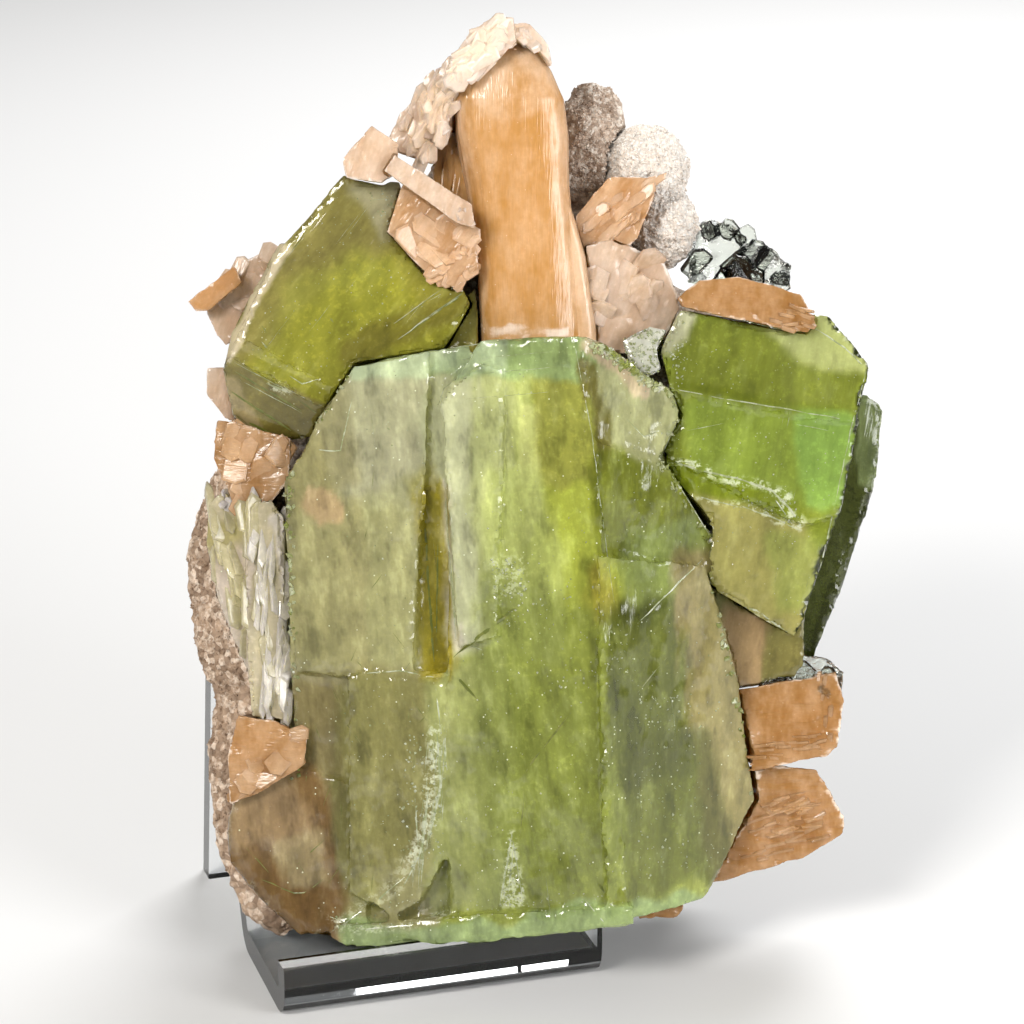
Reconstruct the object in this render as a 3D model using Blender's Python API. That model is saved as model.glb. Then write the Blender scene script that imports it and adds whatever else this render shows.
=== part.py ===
"""Apophyllite cluster with stilbite on a thin matrix, standing on a small clear acrylic easel.

Metres, +Z up. The cluster faces -Y and leans back on the easel. Its pieces are laid out in the
cluster's own upright frame, in millimetres: u to the right, v up along the face, w towards the
viewer. An empty leans that frame back.
"""

import math

import bmesh
import bpy
from mathutils import Matrix, Vector, noise

MM = 0.001

# Driving dimensions, in millimetres
LEAN_DEG = 20.0
GAP = 0.3
FACE_SLOPE = 0.14
SIDE_TAPER = 0.08
BACK_STEP = 0.17
MAIN_BACK = (-11.4, 30.0, -8.9, -0.287, 0.0)

SHEET = 3.0
EASEL_WIDTH = 38.5
EASEL_TURN_DEG = 17.0
LIP_HEIGHT = 6.6
SEAT_DEPTH = 21.0
BACK_TOP = (33.0, 30.6)
BACK_TOP_RUN = 3.4
REAR_FOOT_DEPTH = 43.0
BEND_RADIUS = 1.9
BEND_STEPS = 4

# Size in metres of the block that a blade is cut from
BLOCK = 0.4

# A rock's bumps: a second, finer layer, and how far apart in the noise two seeds lie
FINE_SHARE = 0.4
FINE_SCALE = 2.7
SEED_STEP = 7.3

# Where the frames stand, in millimetres from the middle of the base
CLUSTER_FOOT = (-2.95, -19.37, 2.9)
EASEL_CORNER = (-29.15, -30.82, 0.0)

# Base colour, roughness and alpha of each kind of piece
FINISHES = {
    "green_crystal": ((0.30, 0.33, 0.09), 0.18, 1.0),
    "pale_crystal": ((0.46, 0.42, 0.27), 0.3, 1.0),
    "peach_crystal": ((0.70, 0.39, 0.17), 0.38, 1.0),
    "pink_crystal": ((0.80, 0.58, 0.42), 0.4, 1.0),
    "clear_crystal": ((0.80, 0.80, 0.76), 0.06, 0.45),
    "white_grains": ((0.86, 0.69, 0.55), 0.8, 1.0),
    "matrix_rock": ((0.24, 0.18, 0.15), 0.85, 1.0),
    "acrylic": ((0.92, 0.93, 0.94), 0.05, 0.3),
}

# Flat-faced pieces, the front ones first. Each blade is a convex outline (u, v), counterclockwise,
# then its front plane (u, v, w, slope along u, slope along v) and its back plane, if not MAIN_BACK.
CRYSTALS = {
    "apophyllite_main": ("green_crystal", [
        (((-8.0, 2.0), (14.3, 4.5), (14.0, 21.5), (12.0, 42.0), (10.0, 57.0), (8.8, 72.3), (-3.5, 72.0),
          (-7.6, 66.0)), (10.0, 36.0, 12.5, 0.14, FACE_SLOPE), None),
        (((-6.4, 36.5), (-1.5, 38.0), (-1.4, 68.6), (-3.5, 69.2), (-7.9, 65.0), (-7.4, 53.0)),
         (-4.0, 50.0, 13.6, 0.10, FACE_SLOPE), None),
        (((-26.5, 41.0), (-24.6, 3.0), (-19.5, 2.0), (-6.0, 2.0), (-5.5, 71.6), (-18.8, 69.4), (-22.0, 63.5),
          (-26.5, 57.0)), (-12.0, 36.0, 7.4, 0.12, FACE_SLOPE), None),
        (((-26.3, 42.5), (-25.4, 33.4), (-10.6, 33.0), (-10.2, 50.0), (-8.6, 70.9), (-18.6, 69.2),
          (-21.8, 63.7), (-26.3, 56.8)), (-12.0, 36.0, 8.8, 0.10, FACE_SLOPE), None),
        (((-19.0, 33.0), (-19.4, 8.0), (-14.0, 5.0), (-10.5, 7.0), (-6.2, 15.5), (-6.2, 33.6), (-17.5, 34.0)),
         (-12.0, 20.0, 7.3, 0.06, 0.12), None),
        (((-33.4, 16.0), (-33.2, 11.5), (-30.0, 7.2), (-25.0, 2.6), (-17.0, 3.5), (-16.0, 19.5), (-25.0, 22.8),
          (-32.0, 20.0)), (-26.0, 12.0, 3.4, 0.10, 0.12), None),
        (((-21.5, 2.6), (-19.5, 1.5), (-11.5, 1.0), (10.0, 4.0), (14.2, 4.6), (14.2, 6.9), (-20.8, 4.6)),
         (-5.0, 3.0, 6.9, 0.12, FACE_SLOPE), None),
        (((8.2, 54.0), (11.5, 53.4), (17.0, 58.4), (19.6, 63.4), (18.5, 66.0), (15.0, 68.6), (9.6, 72.0),
          (8.0, 72.2)), (9.5, 62.0, 15.4, -0.62, FACE_SLOPE), None),
        (((9.5, 60.0), (12.3, 37.2), (21.0, 39.6), (24.0, 45.2), (24.5, 48.4), (21.2, 53.4), (17.4, 58.2)),
         (11.5, 50.0, 13.0, -0.66, FACE_SLOPE), None),
        (((10.4, 4.2), (22.5, 6.1), (24.2, 9.2), (29.0, 17.2), (29.0, 18.4), (26.0, 35.0), (22.2, 46.2),
          (9.6, 47.0)), (13.5, 25.0, 10.6, -0.62, FACE_SLOPE), None),
        (((2.0, 7.0), (21.0, 8.0), (26.5, 19.0), (21.5, 44.0), (17.0, 61.0), (8.0, 68.0), (2.0, 68.0)),
         (12.0, 36.0, 6.0, -0.5, FACE_SLOPE), None),
    ]),
    "stilbite_lath": ("pink_crystal", [
        (((-14.6, 91.2), (-6.5, 85.4), (-4.2, 84.6), (-4.6, 87.4), (-13.4, 93.0)),
         (-9.0, 88.5, 15.6, 0.0, 0.05), (-9.0, 88.5, 12.4, 0.0, 0.0)),
    ]),
    "stilbite_block": ("pink_crystal", [
        (((-19.5, 92.8), (-19.0, 90.6), (-14.9, 90.0), (-12.8, 91.4), (-13.0, 94.4), (-16.0, 96.4)),
         (-16.0, 93.0, 14.6, 0.1, 0.1), (-16.0, 93.0, 4.0, 0.0, 0.0)),
    ]),
    "stilbite_sheaf": ("peach_crystal", [
        (((-3.6, 66.0), (8.6, 66.0), (8.4, 74.0), (7.4, 84.0), (6.6, 92.0), (6.4, 97.0), (-6.0, 97.0),
          (-5.2, 90.5), (-4.0, 80.0)), (0.0, 85.0, 11.2, 0.03, 0.10), (0.0, 85.0, 1.0, 0.0, 0.10)),
        (((-5.3, 90.0), (6.7, 90.0), (6.6, 95.5), (6.0, 99.6), (4.4, 103.2), (2.6, 105.6), (-0.6, 106.8),
          (-4.4, 104.2), (-6.6, 100.0), (-7.0, 97.0)), (0.0, 98.0, 12.6, 0.02, -0.05),
         (0.0, 98.0, 2.0, 0.0, 0.06)),
        (((7.0, 66.0), (10.2, 66.0), (9.6, 77.0), (8.6, 82.0), (6.4, 90.0), (5.0, 90.0)),
         (8.0, 78.0, 9.4, -0.25, 0.10), (8.0, 78.0, 1.5, 0.0, 0.10)),
    ]),
    "stilbite_cap": ("pink_crystal", [
        (((-6.7, 102.4), (-4.6, 101.2), (0.6, 106.2), (0.2, 108.3), (-1.5, 109.6), (-5.0, 107.2),
          (-6.6, 104.6)), (-3.0, 105.5, 13.4, 0.05, -0.1), (-3.0, 105.5, 5.0, 0.0, 0.0)),
        (((-0.8, 106.0), (3.4, 103.2), (4.6, 103.6), (4.1, 106.2), (2.0, 108.4), (-0.8, 108.6)),
         (2.0, 106.0, 12.4, -0.1, -0.1), (2.0, 106.0, 4.6, 0.0, 0.0)),
    ]),
    "stilbite_flank_blades": ("pink_crystal", [
        (((-8.4, 95.4), (-6.6, 96.6), (-6.0, 101.0), (-7.0, 105.0), (-8.0, 104.2), (-10.0, 99.4)),
         (-7.5, 100.0, 11.0, 0.1, 0.0), (-7.5, 100.0, 4.0, 0.0, 0.0)),
        (((-11.0, 95.6), (-7.6, 95.2), (-8.2, 101.4), (-9.0, 103.6), (-10.2, 102.6), (-11.6, 99.0)),
         (-9.5, 99.0, 9.8, 0.1, 0.0), (-9.5, 99.0, 3.4, 0.0, 0.0)),
        (((-15.2, 94.6), (-9.0, 92.6), (-9.4, 99.6), (-12.0, 100.4), (-13.0, 98.4), (-15.0, 96.4)),
         (-12.0, 97.0, 8.6, 0.1, 0.0), (-12.0, 97.0, 2.6, 0.0, 0.0)),
    ]),
    "stilbite_wing": ("peach_crystal", [
        (((-14.4, 84.6), (-9.4, 79.2), (-6.6, 78.0), (-3.9, 80.4), (-4.3, 85.0), (-6.8, 86.8), (-12.6, 90.2)),
         (-8.0, 84.0, 12.2, 0.05, 0.08), (-8.0, 84.0, 4.4, 0.0, 0.05)),
    ]),
    "apophyllite_left": ("green_crystal", [
        (((-33.0, 70.2), (-22.4, 64.6), (-18.0, 62.8), (-8.4, 70.0), (-4.6, 76.4), (-12.9, 90.5), (-19.4, 91.0),
          (-26.5, 83.2), (-32.2, 72.4)), (-18.0, 76.0, 10.4, 0.05, 0.02), (-18.0, 76.0, -9.0, -0.1, 0.1)),
        (((-34.0, 69.4), (-33.0, 63.6), (-29.0, 60.6), (-23.5, 61.0), (-19.0, 64.0), (-20.0, 66.5),
          (-31.0, 72.5)), (-26.0, 67.0, 8.9, 0.34, 0.62), (-26.0, 67.0, -7.0, -0.1, 0.1)),
        (((-34.0, 69.0), (-30.0, 69.0), (-24.0, 83.0), (-26.9, 83.6), (-32.6, 73.6)),
         (-30.0, 76.0, 7.2, 0.3, 0.0), (-30.0, 76.0, -7.0, -0.1, 0.1)),
    ]),
    "apophyllite_small": ("green_crystal", [
        (((-10.2, 68.0), (-3.8, 68.0), (-4.2, 78.4), (-5.2, 77.6), (-10.2, 71.2)),
         (-6.0, 74.0, 7.4, 0.1, 0.1), (-6.0, 74.0, 0.6, 0.0, 0.1)),
    ]),
    "stilbite_back_blade": ("peach_crystal", [
        (((-8.8, 88.0), (-6.5, 72.0), (-3.4, 72.0), (-3.4, 101.6), (-5.0, 102.6), (-7.2, 103.0), (-12.0, 96.8),
          (-13.0, 93.6)), (-6.0, 88.0, 5.6, 0.12, 0.10), (-6.0, 88.0, -3.0, 0.0, 0.08)),
    ]),
    "stilbite_slab": ("peach_crystal", [
        (((19.0, 76.9), (19.6, 75.9), (24.0, 74.9), (30.0, 73.6), (34.0, 72.9), (35.0, 74.0), (33.5, 77.4),
          (30.0, 78.6), (26.0, 79.5), (21.6, 79.0)), (27.0, 76.5, 11.0, 0.0, -0.35),
         (27.0, 76.5, 2.0, 0.0, 0.0)),
    ]),
    "apophyllite_right": ("green_crystal", [
        (((17.0, 71.0), (18.4, 66.2), (30.0, 63.6), (40.2, 62.4), (40.8, 66.2), (41.6, 69.0), (36.6, 75.0),
          (34.6, 75.4), (19.4, 76.0)), (30.0, 69.0, 9.6, 0.04, 0.10), (30.0, 69.0, -12.0, 0.0, 0.1)),
        (((17.6, 58.4), (27.0, 54.0), (33.5, 50.6), (38.0, 52.2), (40.3, 63.4), (29.8, 65.0), (18.0, 67.2)),
         (30.0, 58.0, 8.1, 0.03, 0.10), (30.0, 58.0, -13.0, 0.0, 0.1)),
        (((22.2, 43.6), (30.0, 39.2), (32.8, 37.4), (34.0, 39.0), (36.0, 45.6), (38.4, 54.0), (38.8, 57.0),
          (17.6, 60.0), (17.8, 57.0)), (30.0, 48.0, 5.9, 0.02, 0.12), (30.0, 48.0, -13.0, 0.0, 0.1)),
    ]),
    "apophyllite_back": ("green_crystal", [
        (((32.0, 36.0), (36.6, 34.4), (38.2, 37.2), (40.9, 46.6), (43.4, 53.6), (44.6, 65.0), (42.6, 66.5),
          (33.0, 66.5)), (38.0, 52.0, -8.0, -0.1, 0.1), (38.0, 52.0, -17.0, 0.0, 0.1)),
    ]),
    "colourless_crystal": ("clear_crystal", [
        (((29.0, 29.8), (38.6, 29.6), (39.6, 33.2), (37.0, 35.2), (30.6, 35.6)),
         (34.0, 32.0, -2.2, -0.1, -0.2), (34.0, 32.0, -9.0, 0.0, 0.0)),
    ]),
    "stilbite_lower_upper": ("peach_crystal", [
        (((24.0, 21.0), (37.0, 23.4), (38.5, 24.6), (39.4, 30.0), (38.4, 33.3), (24.0, 30.8)),
         (33.0, 27.0, 0.4, -0.05, -0.25), (33.0, 27.0, -13.0, 0.0, 0.0)),
    ]),
    "stilbite_lower_lower": ("peach_crystal", [
        (((22.0, 7.6), (34.6, 11.2), (39.4, 14.2), (39.5, 16.0), (36.0, 21.8), (30.0, 22.6), (22.0, 21.0)),
         (32.0, 16.0, -1.6, -0.05, 0.2), (32.0, 16.0, -13.5, 0.0, 0.0)),
    ]),
    "apophyllite_olive": ("green_crystal", [
        (((22.0, 30.4), (31.6, 29.8), (34.4, 34.2), (34.6, 42.0), (24.0, 45.0), (21.0, 45.0)),
         (29.0, 36.0, -0.6, -0.1, 0.1), (29.0, 36.0, -12.0, 0.0, 0.0)),
    ]),
    "stilbite_pale_block": ("pink_crystal", [
        (((8.2, 73.0), (11.4, 70.8), (15.0, 70.8), (19.4, 73.4), (19.5, 77.0), (17.6, 81.4), (11.6, 84.0),
          (8.6, 83.2)), (14.0, 77.0, 6.6, -0.1, 0.1), (14.0, 77.0, -6.0, 0.0, 0.1)),
    ]),
    "stilbite_fan": ("peach_crystal", [
        (((6.6, 81.0), (11.4, 81.6), (14.6, 84.0), (16.6, 89.0), (17.0, 91.4), (11.2, 91.4), (7.4, 86.6)),
         (12.0, 87.0, 5.4, -0.1, -0.1), (12.0, 87.0, 0.0, 0.0, 0.0)),
    ]),
    "clear_crystal_lower": ("clear_crystal", [
        (((26.6, 80.2), (32.6, 78.8), (33.2, 81.4), (31.0, 83.4), (28.0, 84.3), (26.8, 83.0)),
         (30.0, 81.0, -1.6, -0.1, -0.1), (30.0, 81.0, -12.0, 0.0, 0.0)),
    ]),
    "clear_crystal_upper": ("clear_crystal", [
        (((20.8, 79.5), (28.0, 79.5), (28.2, 84.8), (26.0, 86.6), (23.0, 86.9), (21.2, 85.6)),
         (24.0, 83.0, -2.6, -0.1, -0.1), (24.0, 83.0, -13.0, 0.0, 0.0)),
    ]),
    "sparkly_druse": ("pale_crystal", [
        (((13.6, 69.8), (16.0, 68.0), (19.2, 69.8), (19.6, 73.2), (16.0, 73.8), (12.6, 72.2)),
         (16.0, 71.0, 8.6, 0.0, -0.1), (16.0, 71.0, -2.0, 0.0, 0.0)),
    ]),
    "stilbite_left_piece": ("peach_crystal", [
        (((-35.0, 58.6), (-32.5, 53.2), (-28.6, 52.8), (-26.0, 56.0), (-25.6, 61.0), (-31.5, 62.6),
          (-34.4, 63.0)), (-30.0, 58.0, 6.0, 0.1, 0.0), (-30.0, 58.0, -5.0, 0.0, 0.0)),
    ]),
    "stilbite_low_left_blade": ("peach_crystal", [
        (((-33.2, 23.6), (-33.0, 18.2), (-30.0, 19.2), (-24.0, 23.0), (-23.8, 26.2), (-27.6, 28.0),
          (-32.0, 28.6)), (-28.0, 24.0, 5.9, 0.12, 0.05), (-28.0, 24.0, -1.5, -0.2, 0.0)),
    ]),
    "apophyllite_bladed": ("pale_crystal", [
        (((-31.5, 53.6), (-30.8, 27.2), (-29.4, 22.4), (-25.6, 25.0), (-25.0, 28.0), (-26.2, 51.2),
          (-28.2, 54.0)), (-28.0, 40.0, 5.4, 0.06, 0.12), (-28.0, 40.0, -5.0, -0.2, 0.0)),
        (((-36.4, 46.4), (-34.6, 42.0), (-31.8, 28.8), (-28.0, 26.6), (-28.0, 54.6), (-32.0, 56.2),
          (-35.6, 53.4)), (-32.0, 42.0, 3.4, 0.10, 0.12), (-32.0, 42.0, -6.0, -0.2, 0.0)),
    ]),
    "stilbite_left_sliver": ("peach_crystal", [
        (((-38.0, 77.0), (-37.0, 75.8), (-35.4, 76.0), (-31.6, 79.2), (-32.4, 81.0)),
         (-35.0, 78.0, 4.6, 0.0, 0.3), (-35.0, 78.0, 2.2, 0.0, 0.3)),
    ]),
    "stilbite_left_block": ("pink_crystal", [
        (((-36.0, 76.0), (-34.8, 73.0), (-33.8, 71.8), (-25.6, 78.0), (-25.6, 82.6), (-27.0, 84.0),
          (-32.0, 81.6)), (-31.0, 78.0, 1.8, 0.0, 0.05), (-31.0, 78.0, -7.0, 0.0, 0.0)),
    ]),
    "stilbite_left_stub": ("pink_crystal", [
        (((-36.0, 66.2), (-33.8, 63.2), (-30.5, 62.6), (-30.5, 69.5), (-35.8, 69.2)),
         (-34.0, 66.0, 1.6, 0.0, 0.0), (-34.0, 66.0, -6.0, 0.0, 0.0)),
    ]),
    "stilbite_bottom_chip": ("peach_crystal", [
        (((14.9, 4.4), (19.4, 4.6), (20.2, 5.4), (20.4, 9.0), (14.8, 9.0)),
         (17.0, 6.0, 1.6, 0.0, 0.1), (17.0, 6.0, -12.0, 0.0, 0.0)),
    ]),
}

# The pieces that lie against the easel
RESTING = ("apophyllite_main", "matrix", "left_crust")

# Rough lumps: middle (u, v, w), radii, height and size of the bumps, seed, divisions
BALL_LUMPS = (
    ((15.8, 92.7, -3.0), (5.3, 5.7, 5.0), 0.35, 2.4, 3, 3),
    ((18.0, 86.2, -3.5), (4.2, 4.8, 5.0), 0.35, 2.4, 5, 3),
)
CRUST_LUMPS = (
    ((-30.6, 44.0, -4.2), (8.0, 16.5, 5.2), 0.9, 7.0, 11, 3),
    ((-27.6, 22.0, -3.6), (8.6, 20.0, 4.0), 0.7, 6.0, 13, 3),
)
MATRIX_LUMPS = (
    ((-4.0, 60.0, -17.0), (29.0, 23.0, 9.5), 3.2, 10.0, 21, 3),
    ((15.0, 66.0, -18.5), (18.0, 15.0, 9.0), 2.6, 8.0, 22, 3),
    ((-17.0, 52.0, -16.0), (16.0, 14.0, 8.0), 2.6, 7.0, 24, 3),
    ((3.0, 82.0, -7.0), (15.5, 17.0, 8.5), 2.2, 7.0, 23, 3),
    ((9.2, 96.0, -4.5), (4.4, 7.6, 5.0), 0.9, 3.2, 25, 3),
    ((-3.0, 28.0, -12.5), (17.0, 20.0, 4.6), 1.2, 7.0, 27, 3),
)


def finish(name):
    """One material per kind of piece, made once."""
    material = bpy.data.materials.get(name)
    if material is None:
        colour, roughness, alpha = FINISHES[name]
        material = bpy.data.materials.new(name)
        material.use_nodes = True
        shader = material.node_tree.nodes["Principled BSDF"]
        shader.inputs["Base Color"].default_value = (*colour, 1.0)
        shader.inputs["Roughness"].default_value = roughness
        shader.inputs["Metallic"].default_value = 0.0
        shader.inputs["Alpha"].default_value = alpha
    return material


def clear_scene():
    for old in list(bpy.data.objects):
        bpy.data.objects.remove(old, do_unlink=True)


def new_collection(name):
    made = bpy.data.collections.new(name)
    bpy.context.scene.collection.children.link(made)
    return made


def to_local(u, v, w):
    """A point of the cluster's frame in metres: X right, Y away from the viewer, Z up its face."""
    return Vector((u, -w, v)) * MM


def add_object(name, bm, material, collection, parent):
    bmesh.ops.recalc_face_normals(bm, faces=bm.faces)
    mesh = bpy.data.meshes.new(name)
    bm.to_mesh(mesh)
    bm.free()
    mesh.materials.append(finish(material))
    made = bpy.data.objects.new(name, mesh)
    collection.objects.link(made)
    made.parent = parent
    return made


def hide_cutter(cutter):
    cutter.hide_render = True
    cutter.display_type = "WIRE"
    return cutter


def cut_by_plane(bm, point, normal, grow):
    """Cuts away what lies beyond the plane, moved outwards by grow, and closes the cut."""
    normal = normal.normalized()
    everything = list(bm.verts) + list(bm.edges) + list(bm.faces)
    cut = bmesh.ops.bisect_plane(bm, geom=everything, dist=1e-8, plane_co=point + normal * grow * MM,
                                 plane_no=normal, clear_outer=True)
    rim = [item for item in cut["geom_cut"] if isinstance(item, bmesh.types.BMEdge)]
    if rim:
        bmesh.ops.contextual_create(bm, geom=rim)


def blade_mesh(outline, front, back, step=0.0, grow=0.0):
    """A cube cut by the planes of one crystal blade: its outline's sides, its front and its back.

    The back plane lies a step further back, so that no two blades of a group end in one plane.
    """
    bm = bmesh.new()
    bmesh.ops.create_cube(bm, size=BLOCK)
    front_u, front_v, front_w, along_u, along_v = front
    for (u0, v0), (u1, v1) in zip(outline, outline[1:] + outline[:1]):
        depth = front_w + along_u * (u0 - front_u) + along_v * (v0 - front_v)
        across = Vector((v1 - v0, 0.0, u0 - u1)).normalized()
        cut_by_plane(bm, to_local(u0, v0, depth), across + Vector((0.0, SIDE_TAPER, 0.0)), grow)
    cut_by_plane(bm, to_local(front_u, front_v, front_w), Vector((-along_u, -1.0, -along_v)), grow)
    back_u, back_v, back_w, along_u, along_v = back or MAIN_BACK
    cut_by_plane(bm, to_local(back_u, back_v, back_w - step), Vector((along_u, 1.0, along_v)), grow)
    return bm


def lump_mesh(middle, radii, bump, size, seed, divisions, grow=0.0):
    """An ellipsoid of rock whose surface swells and sinks by a noise of the given bump size."""
    bm = bmesh.new()
    bmesh.ops.create_icosphere(bm, subdivisions=divisions, radius=1.0)
    half_u, half_v, half_w = radii
    for vert in bm.verts:
        way = vert.co.normalized()
        spot = Vector((way.x * half_u, way.y * half_w, way.z * half_v))
        place = spot / size + Vector((seed, seed, seed)) * SEED_STEP
        swell = (noise.noise(place) + FINE_SHARE * noise.noise(place * FINE_SCALE)) * bump + grow
        vert.co = to_local(*middle) + (spot + way * swell) * MM
    return bm


def lump_cutters(lumps, grow):
    return [(lump_mesh, lump + (grow,)) for lump in lumps]


def blade_cutters(blades, grow):
    return [(blade_mesh, blade + (number * BACK_STEP, grow)) for number, blade in enumerate(blades)]


def add_boolean(target, other, operation):
    boolean = target.modifiers.new(other.name, "BOOLEAN")
    boolean.operation = operation
    boolean.object = other
    boolean.solver = "EXACT"


def bounds(bm):
    spots = [vert.co for vert in bm.verts]
    return [(min(s[axis] for s in spots), max(s[axis] for s in spots)) for axis in range(3)]


def apart(first, second):
    return any(a[1] < b[0] or b[1] < a[0] for a, b in zip(first, second))


class Cluster:
    """Builds the pieces in order. Each later piece is cut back by the ones before it, with a gap."""

    def __init__(self, parts, cutters, frame, easel_room):
        self.parts = parts
        self.cutters = cutters
        self.frame = frame
        self.easel_room = easel_room
        self.grown = []

    def piece(self, name, material, shapes, grown_shapes):
        make, values = shapes[0]
        body = make(*values)
        reach = [bounds(shape(*items)) for shape, items in shapes]
        made = add_object(name, body, material, self.parts, self.frame)
        for number, (shape, items) in enumerate(shapes[1:]):
            joined = add_object(f"{name}.join{number}", shape(*items), material, self.cutters, self.frame)
            add_boolean(made, hide_cutter(joined), "UNION")
        if name in RESTING:
            add_boolean(made, self.easel_room, "DIFFERENCE")
        for cutter, cutter_reach in self.grown:
            if not all(apart(own, cutter_reach) for own in reach):
                add_boolean(made, cutter, "DIFFERENCE")
        for number, (shape, items) in enumerate(grown_shapes):
            mesh = shape(*items)
            mesh_reach = bounds(mesh)
            cutter = add_object(f"{name}.gap{number}", mesh, material, self.cutters, self.frame)
            self.grown.append((hide_cutter(cutter), mesh_reach))
        return made

    def crystal(self, name, material, blades):
        return self.piece(name, material, blade_cutters(blades, 0.0), blade_cutters(blades, GAP))

    def rock(self, name, material, lumps):
        return self.piece(name, material, lump_cutters(lumps, 0.0), lump_cutters(lumps, GAP))


def easel_line():
    """The sheet's front side seen from its end, as (depth, height), from the lip round to the rear leg."""
    half = SHEET / 2
    return (
        (half, LIP_HEIGHT),
        (half, half),
        (SEAT_DEPTH - half, half),
        BACK_TOP,
        (BACK_TOP[0] + BACK_TOP_RUN, BACK_TOP[1]),
        (REAR_FOOT_DEPTH - half, 0.0),
    )


def rounded(points, radius, steps):
    """The points of a line with each inner corner turned into an arc of equal steps."""
    line = [Vector(points[0])]
    for before, corner, after in zip(points, points[1:], points[2:]):
        corner = Vector(corner)
        back = (Vector(before) - corner).normalized()
        ahead = (Vector(after) - corner).normalized()
        half_angle = back.angle(ahead) / 2
        reach = radius / math.tan(half_angle)
        middle = corner + (back + ahead).normalized() * radius / math.sin(half_angle)
        start = corner + back * reach - middle
        turn = start.angle_signed(corner + ahead * reach - middle)
        for step in range(steps + 1):
            line.append(middle + Matrix.Rotation(-turn * step / steps, 2) @ start)
    line.append(Vector(points[-1]))
    return line


def easel(name, collection, grow):
    """One sheet of clear acrylic, bent into a lip, a seat, a back rest and a rear leg."""
    line = rounded(easel_line(), BEND_RADIUS, BEND_STEPS)
    half = SHEET / 2 + grow
    rows = []
    for number, spot in enumerate(line):
        before = line[max(number - 1, 0)]
        after = line[min(number + 1, len(line) - 1)]
        along = (after - before).normalized()
        side = Vector((-along.y, along.x)) * half
        if number == 0:
            spot = spot + Vector((0.0, grow))
        if number == len(line) - 1:
            side = Vector((half / abs(along.y), 0.0))
        rows.append((spot + side, spot - side))
    outline = [row[0] for row in rows] + [row[1] for row in reversed(rows)]
    bm = bmesh.new()
    end = bm.faces.new([bm.verts.new(Vector((-grow, p.x, p.y)) * MM) for p in outline])
    swept = bmesh.ops.extrude_face_region(bm, geom=[end])
    moved = [item for item in swept["geom"] if isinstance(item, bmesh.types.BMVert)]
    bmesh.ops.translate(bm, verts=moved, vec=Vector(((EASEL_WIDTH + 2 * grow) * MM, 0.0, 0.0)))
    made = add_object(name, bm, "acrylic", collection, None)
    made.location = Vector(EASEL_CORNER) * MM
    made.rotation_euler = (0.0, 0.0, math.radians(EASEL_TURN_DEG))
    return made


def main():
    clear_scene()
    parts = new_collection("apophyllite_cluster")
    cutters = new_collection("cutters")
    frame = bpy.data.objects.new("cluster_frame", None)
    parts.objects.link(frame)
    frame.location = Vector(CLUSTER_FOOT) * MM
    frame.rotation_euler = (-math.radians(LEAN_DEG), 0.0, 0.0)
    easel("acrylic_easel", parts, 0.0)
    easel_room = hide_cutter(easel("easel_room", cutters, GAP))
    cluster = Cluster(parts, cutters, frame, easel_room)
    for name, (material, blades) in CRYSTALS.items():
        cluster.crystal(name, material, blades)
    cluster.rock("white_ball", "white_grains", BALL_LUMPS)
    cluster.rock("left_crust", "white_grains", CRUST_LUMPS)
    cluster.rock("matrix", "matrix_rock", MATRIX_LUMPS)


main()
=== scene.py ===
"""Apophyllite cluster with stilbite on a small clear easel: the dressed crystals, rock and stand.

The stones are worked in the cluster's own upright frame, in millimetres: u to the right, v up along
the face, w towards the viewer. A chart of the front, 1024 units each way, is laid over that frame, and
every ledge, streak and cloud on the stones is placed by its chart position.
"""

import math

import bmesh
import bpy
import numpy as np
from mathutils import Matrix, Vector
from mathutils.bvhtree import BVHTree


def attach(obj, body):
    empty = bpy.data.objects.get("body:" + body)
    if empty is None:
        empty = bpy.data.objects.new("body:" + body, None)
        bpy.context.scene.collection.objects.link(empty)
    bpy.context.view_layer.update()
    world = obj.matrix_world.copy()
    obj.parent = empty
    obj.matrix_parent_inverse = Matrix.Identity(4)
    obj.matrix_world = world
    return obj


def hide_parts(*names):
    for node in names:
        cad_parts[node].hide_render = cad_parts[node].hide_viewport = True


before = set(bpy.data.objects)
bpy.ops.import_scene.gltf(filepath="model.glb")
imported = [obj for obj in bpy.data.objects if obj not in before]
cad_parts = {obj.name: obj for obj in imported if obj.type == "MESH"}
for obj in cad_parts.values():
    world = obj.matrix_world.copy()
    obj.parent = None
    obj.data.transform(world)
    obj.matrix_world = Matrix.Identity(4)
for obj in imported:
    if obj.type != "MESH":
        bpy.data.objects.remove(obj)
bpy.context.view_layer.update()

MM = 1000.0
LEAN = math.radians(20.0)
FOOT = (-2.95, -19.37, 2.9)
CHART_UNIT = 0.118
CHART_MIDDLE = 52.3
CHART_REACH = 450.0

# How far a coat's soft rim is widened, and how much the tone varies within one coat.
COAT_SOFTENING = 1.8
SHADE_VARIATION = 0.22

# Veins: chart units between spots and of wandering, then millimetres of root and of pointed end.
VEIN_STEP = 9.0
VEIN_WANDER = 0.25
VEIN_ROOT = 0.12
VEIN_TIP = 0.3
# Light veins are laid narrower than their listed widths, dark ones as listed.
LIGHT_SHARE = 0.7
DARK_SHARE = 1.0
CRUMB_SIZE = 0.55

APOPHYLLITE_IOR = 1.535
STILBITE_IOR = 1.5
CLEAR_CRYSTAL_IOR = 1.54
ACRYLIC_IOR = 1.49
GREEN_VEIL = (0.52, 0.56, 0.34)
# Pale colours of the painted sparkles on apophyllite and stilbite.
GREEN_SPARKLE = (0.78, 0.82, 0.60)
PEACH_SPARKLE = (0.95, 0.84, 0.72)
# How unevenly stilbite's rims are frosted, and how deep its silky lines are in millimetres.
FROST = 0.35
SILK_DEPTH = 0.05

CAMERA_AWAY = 0.45


# ---------------------------------------------------------------- places and shapes


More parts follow.
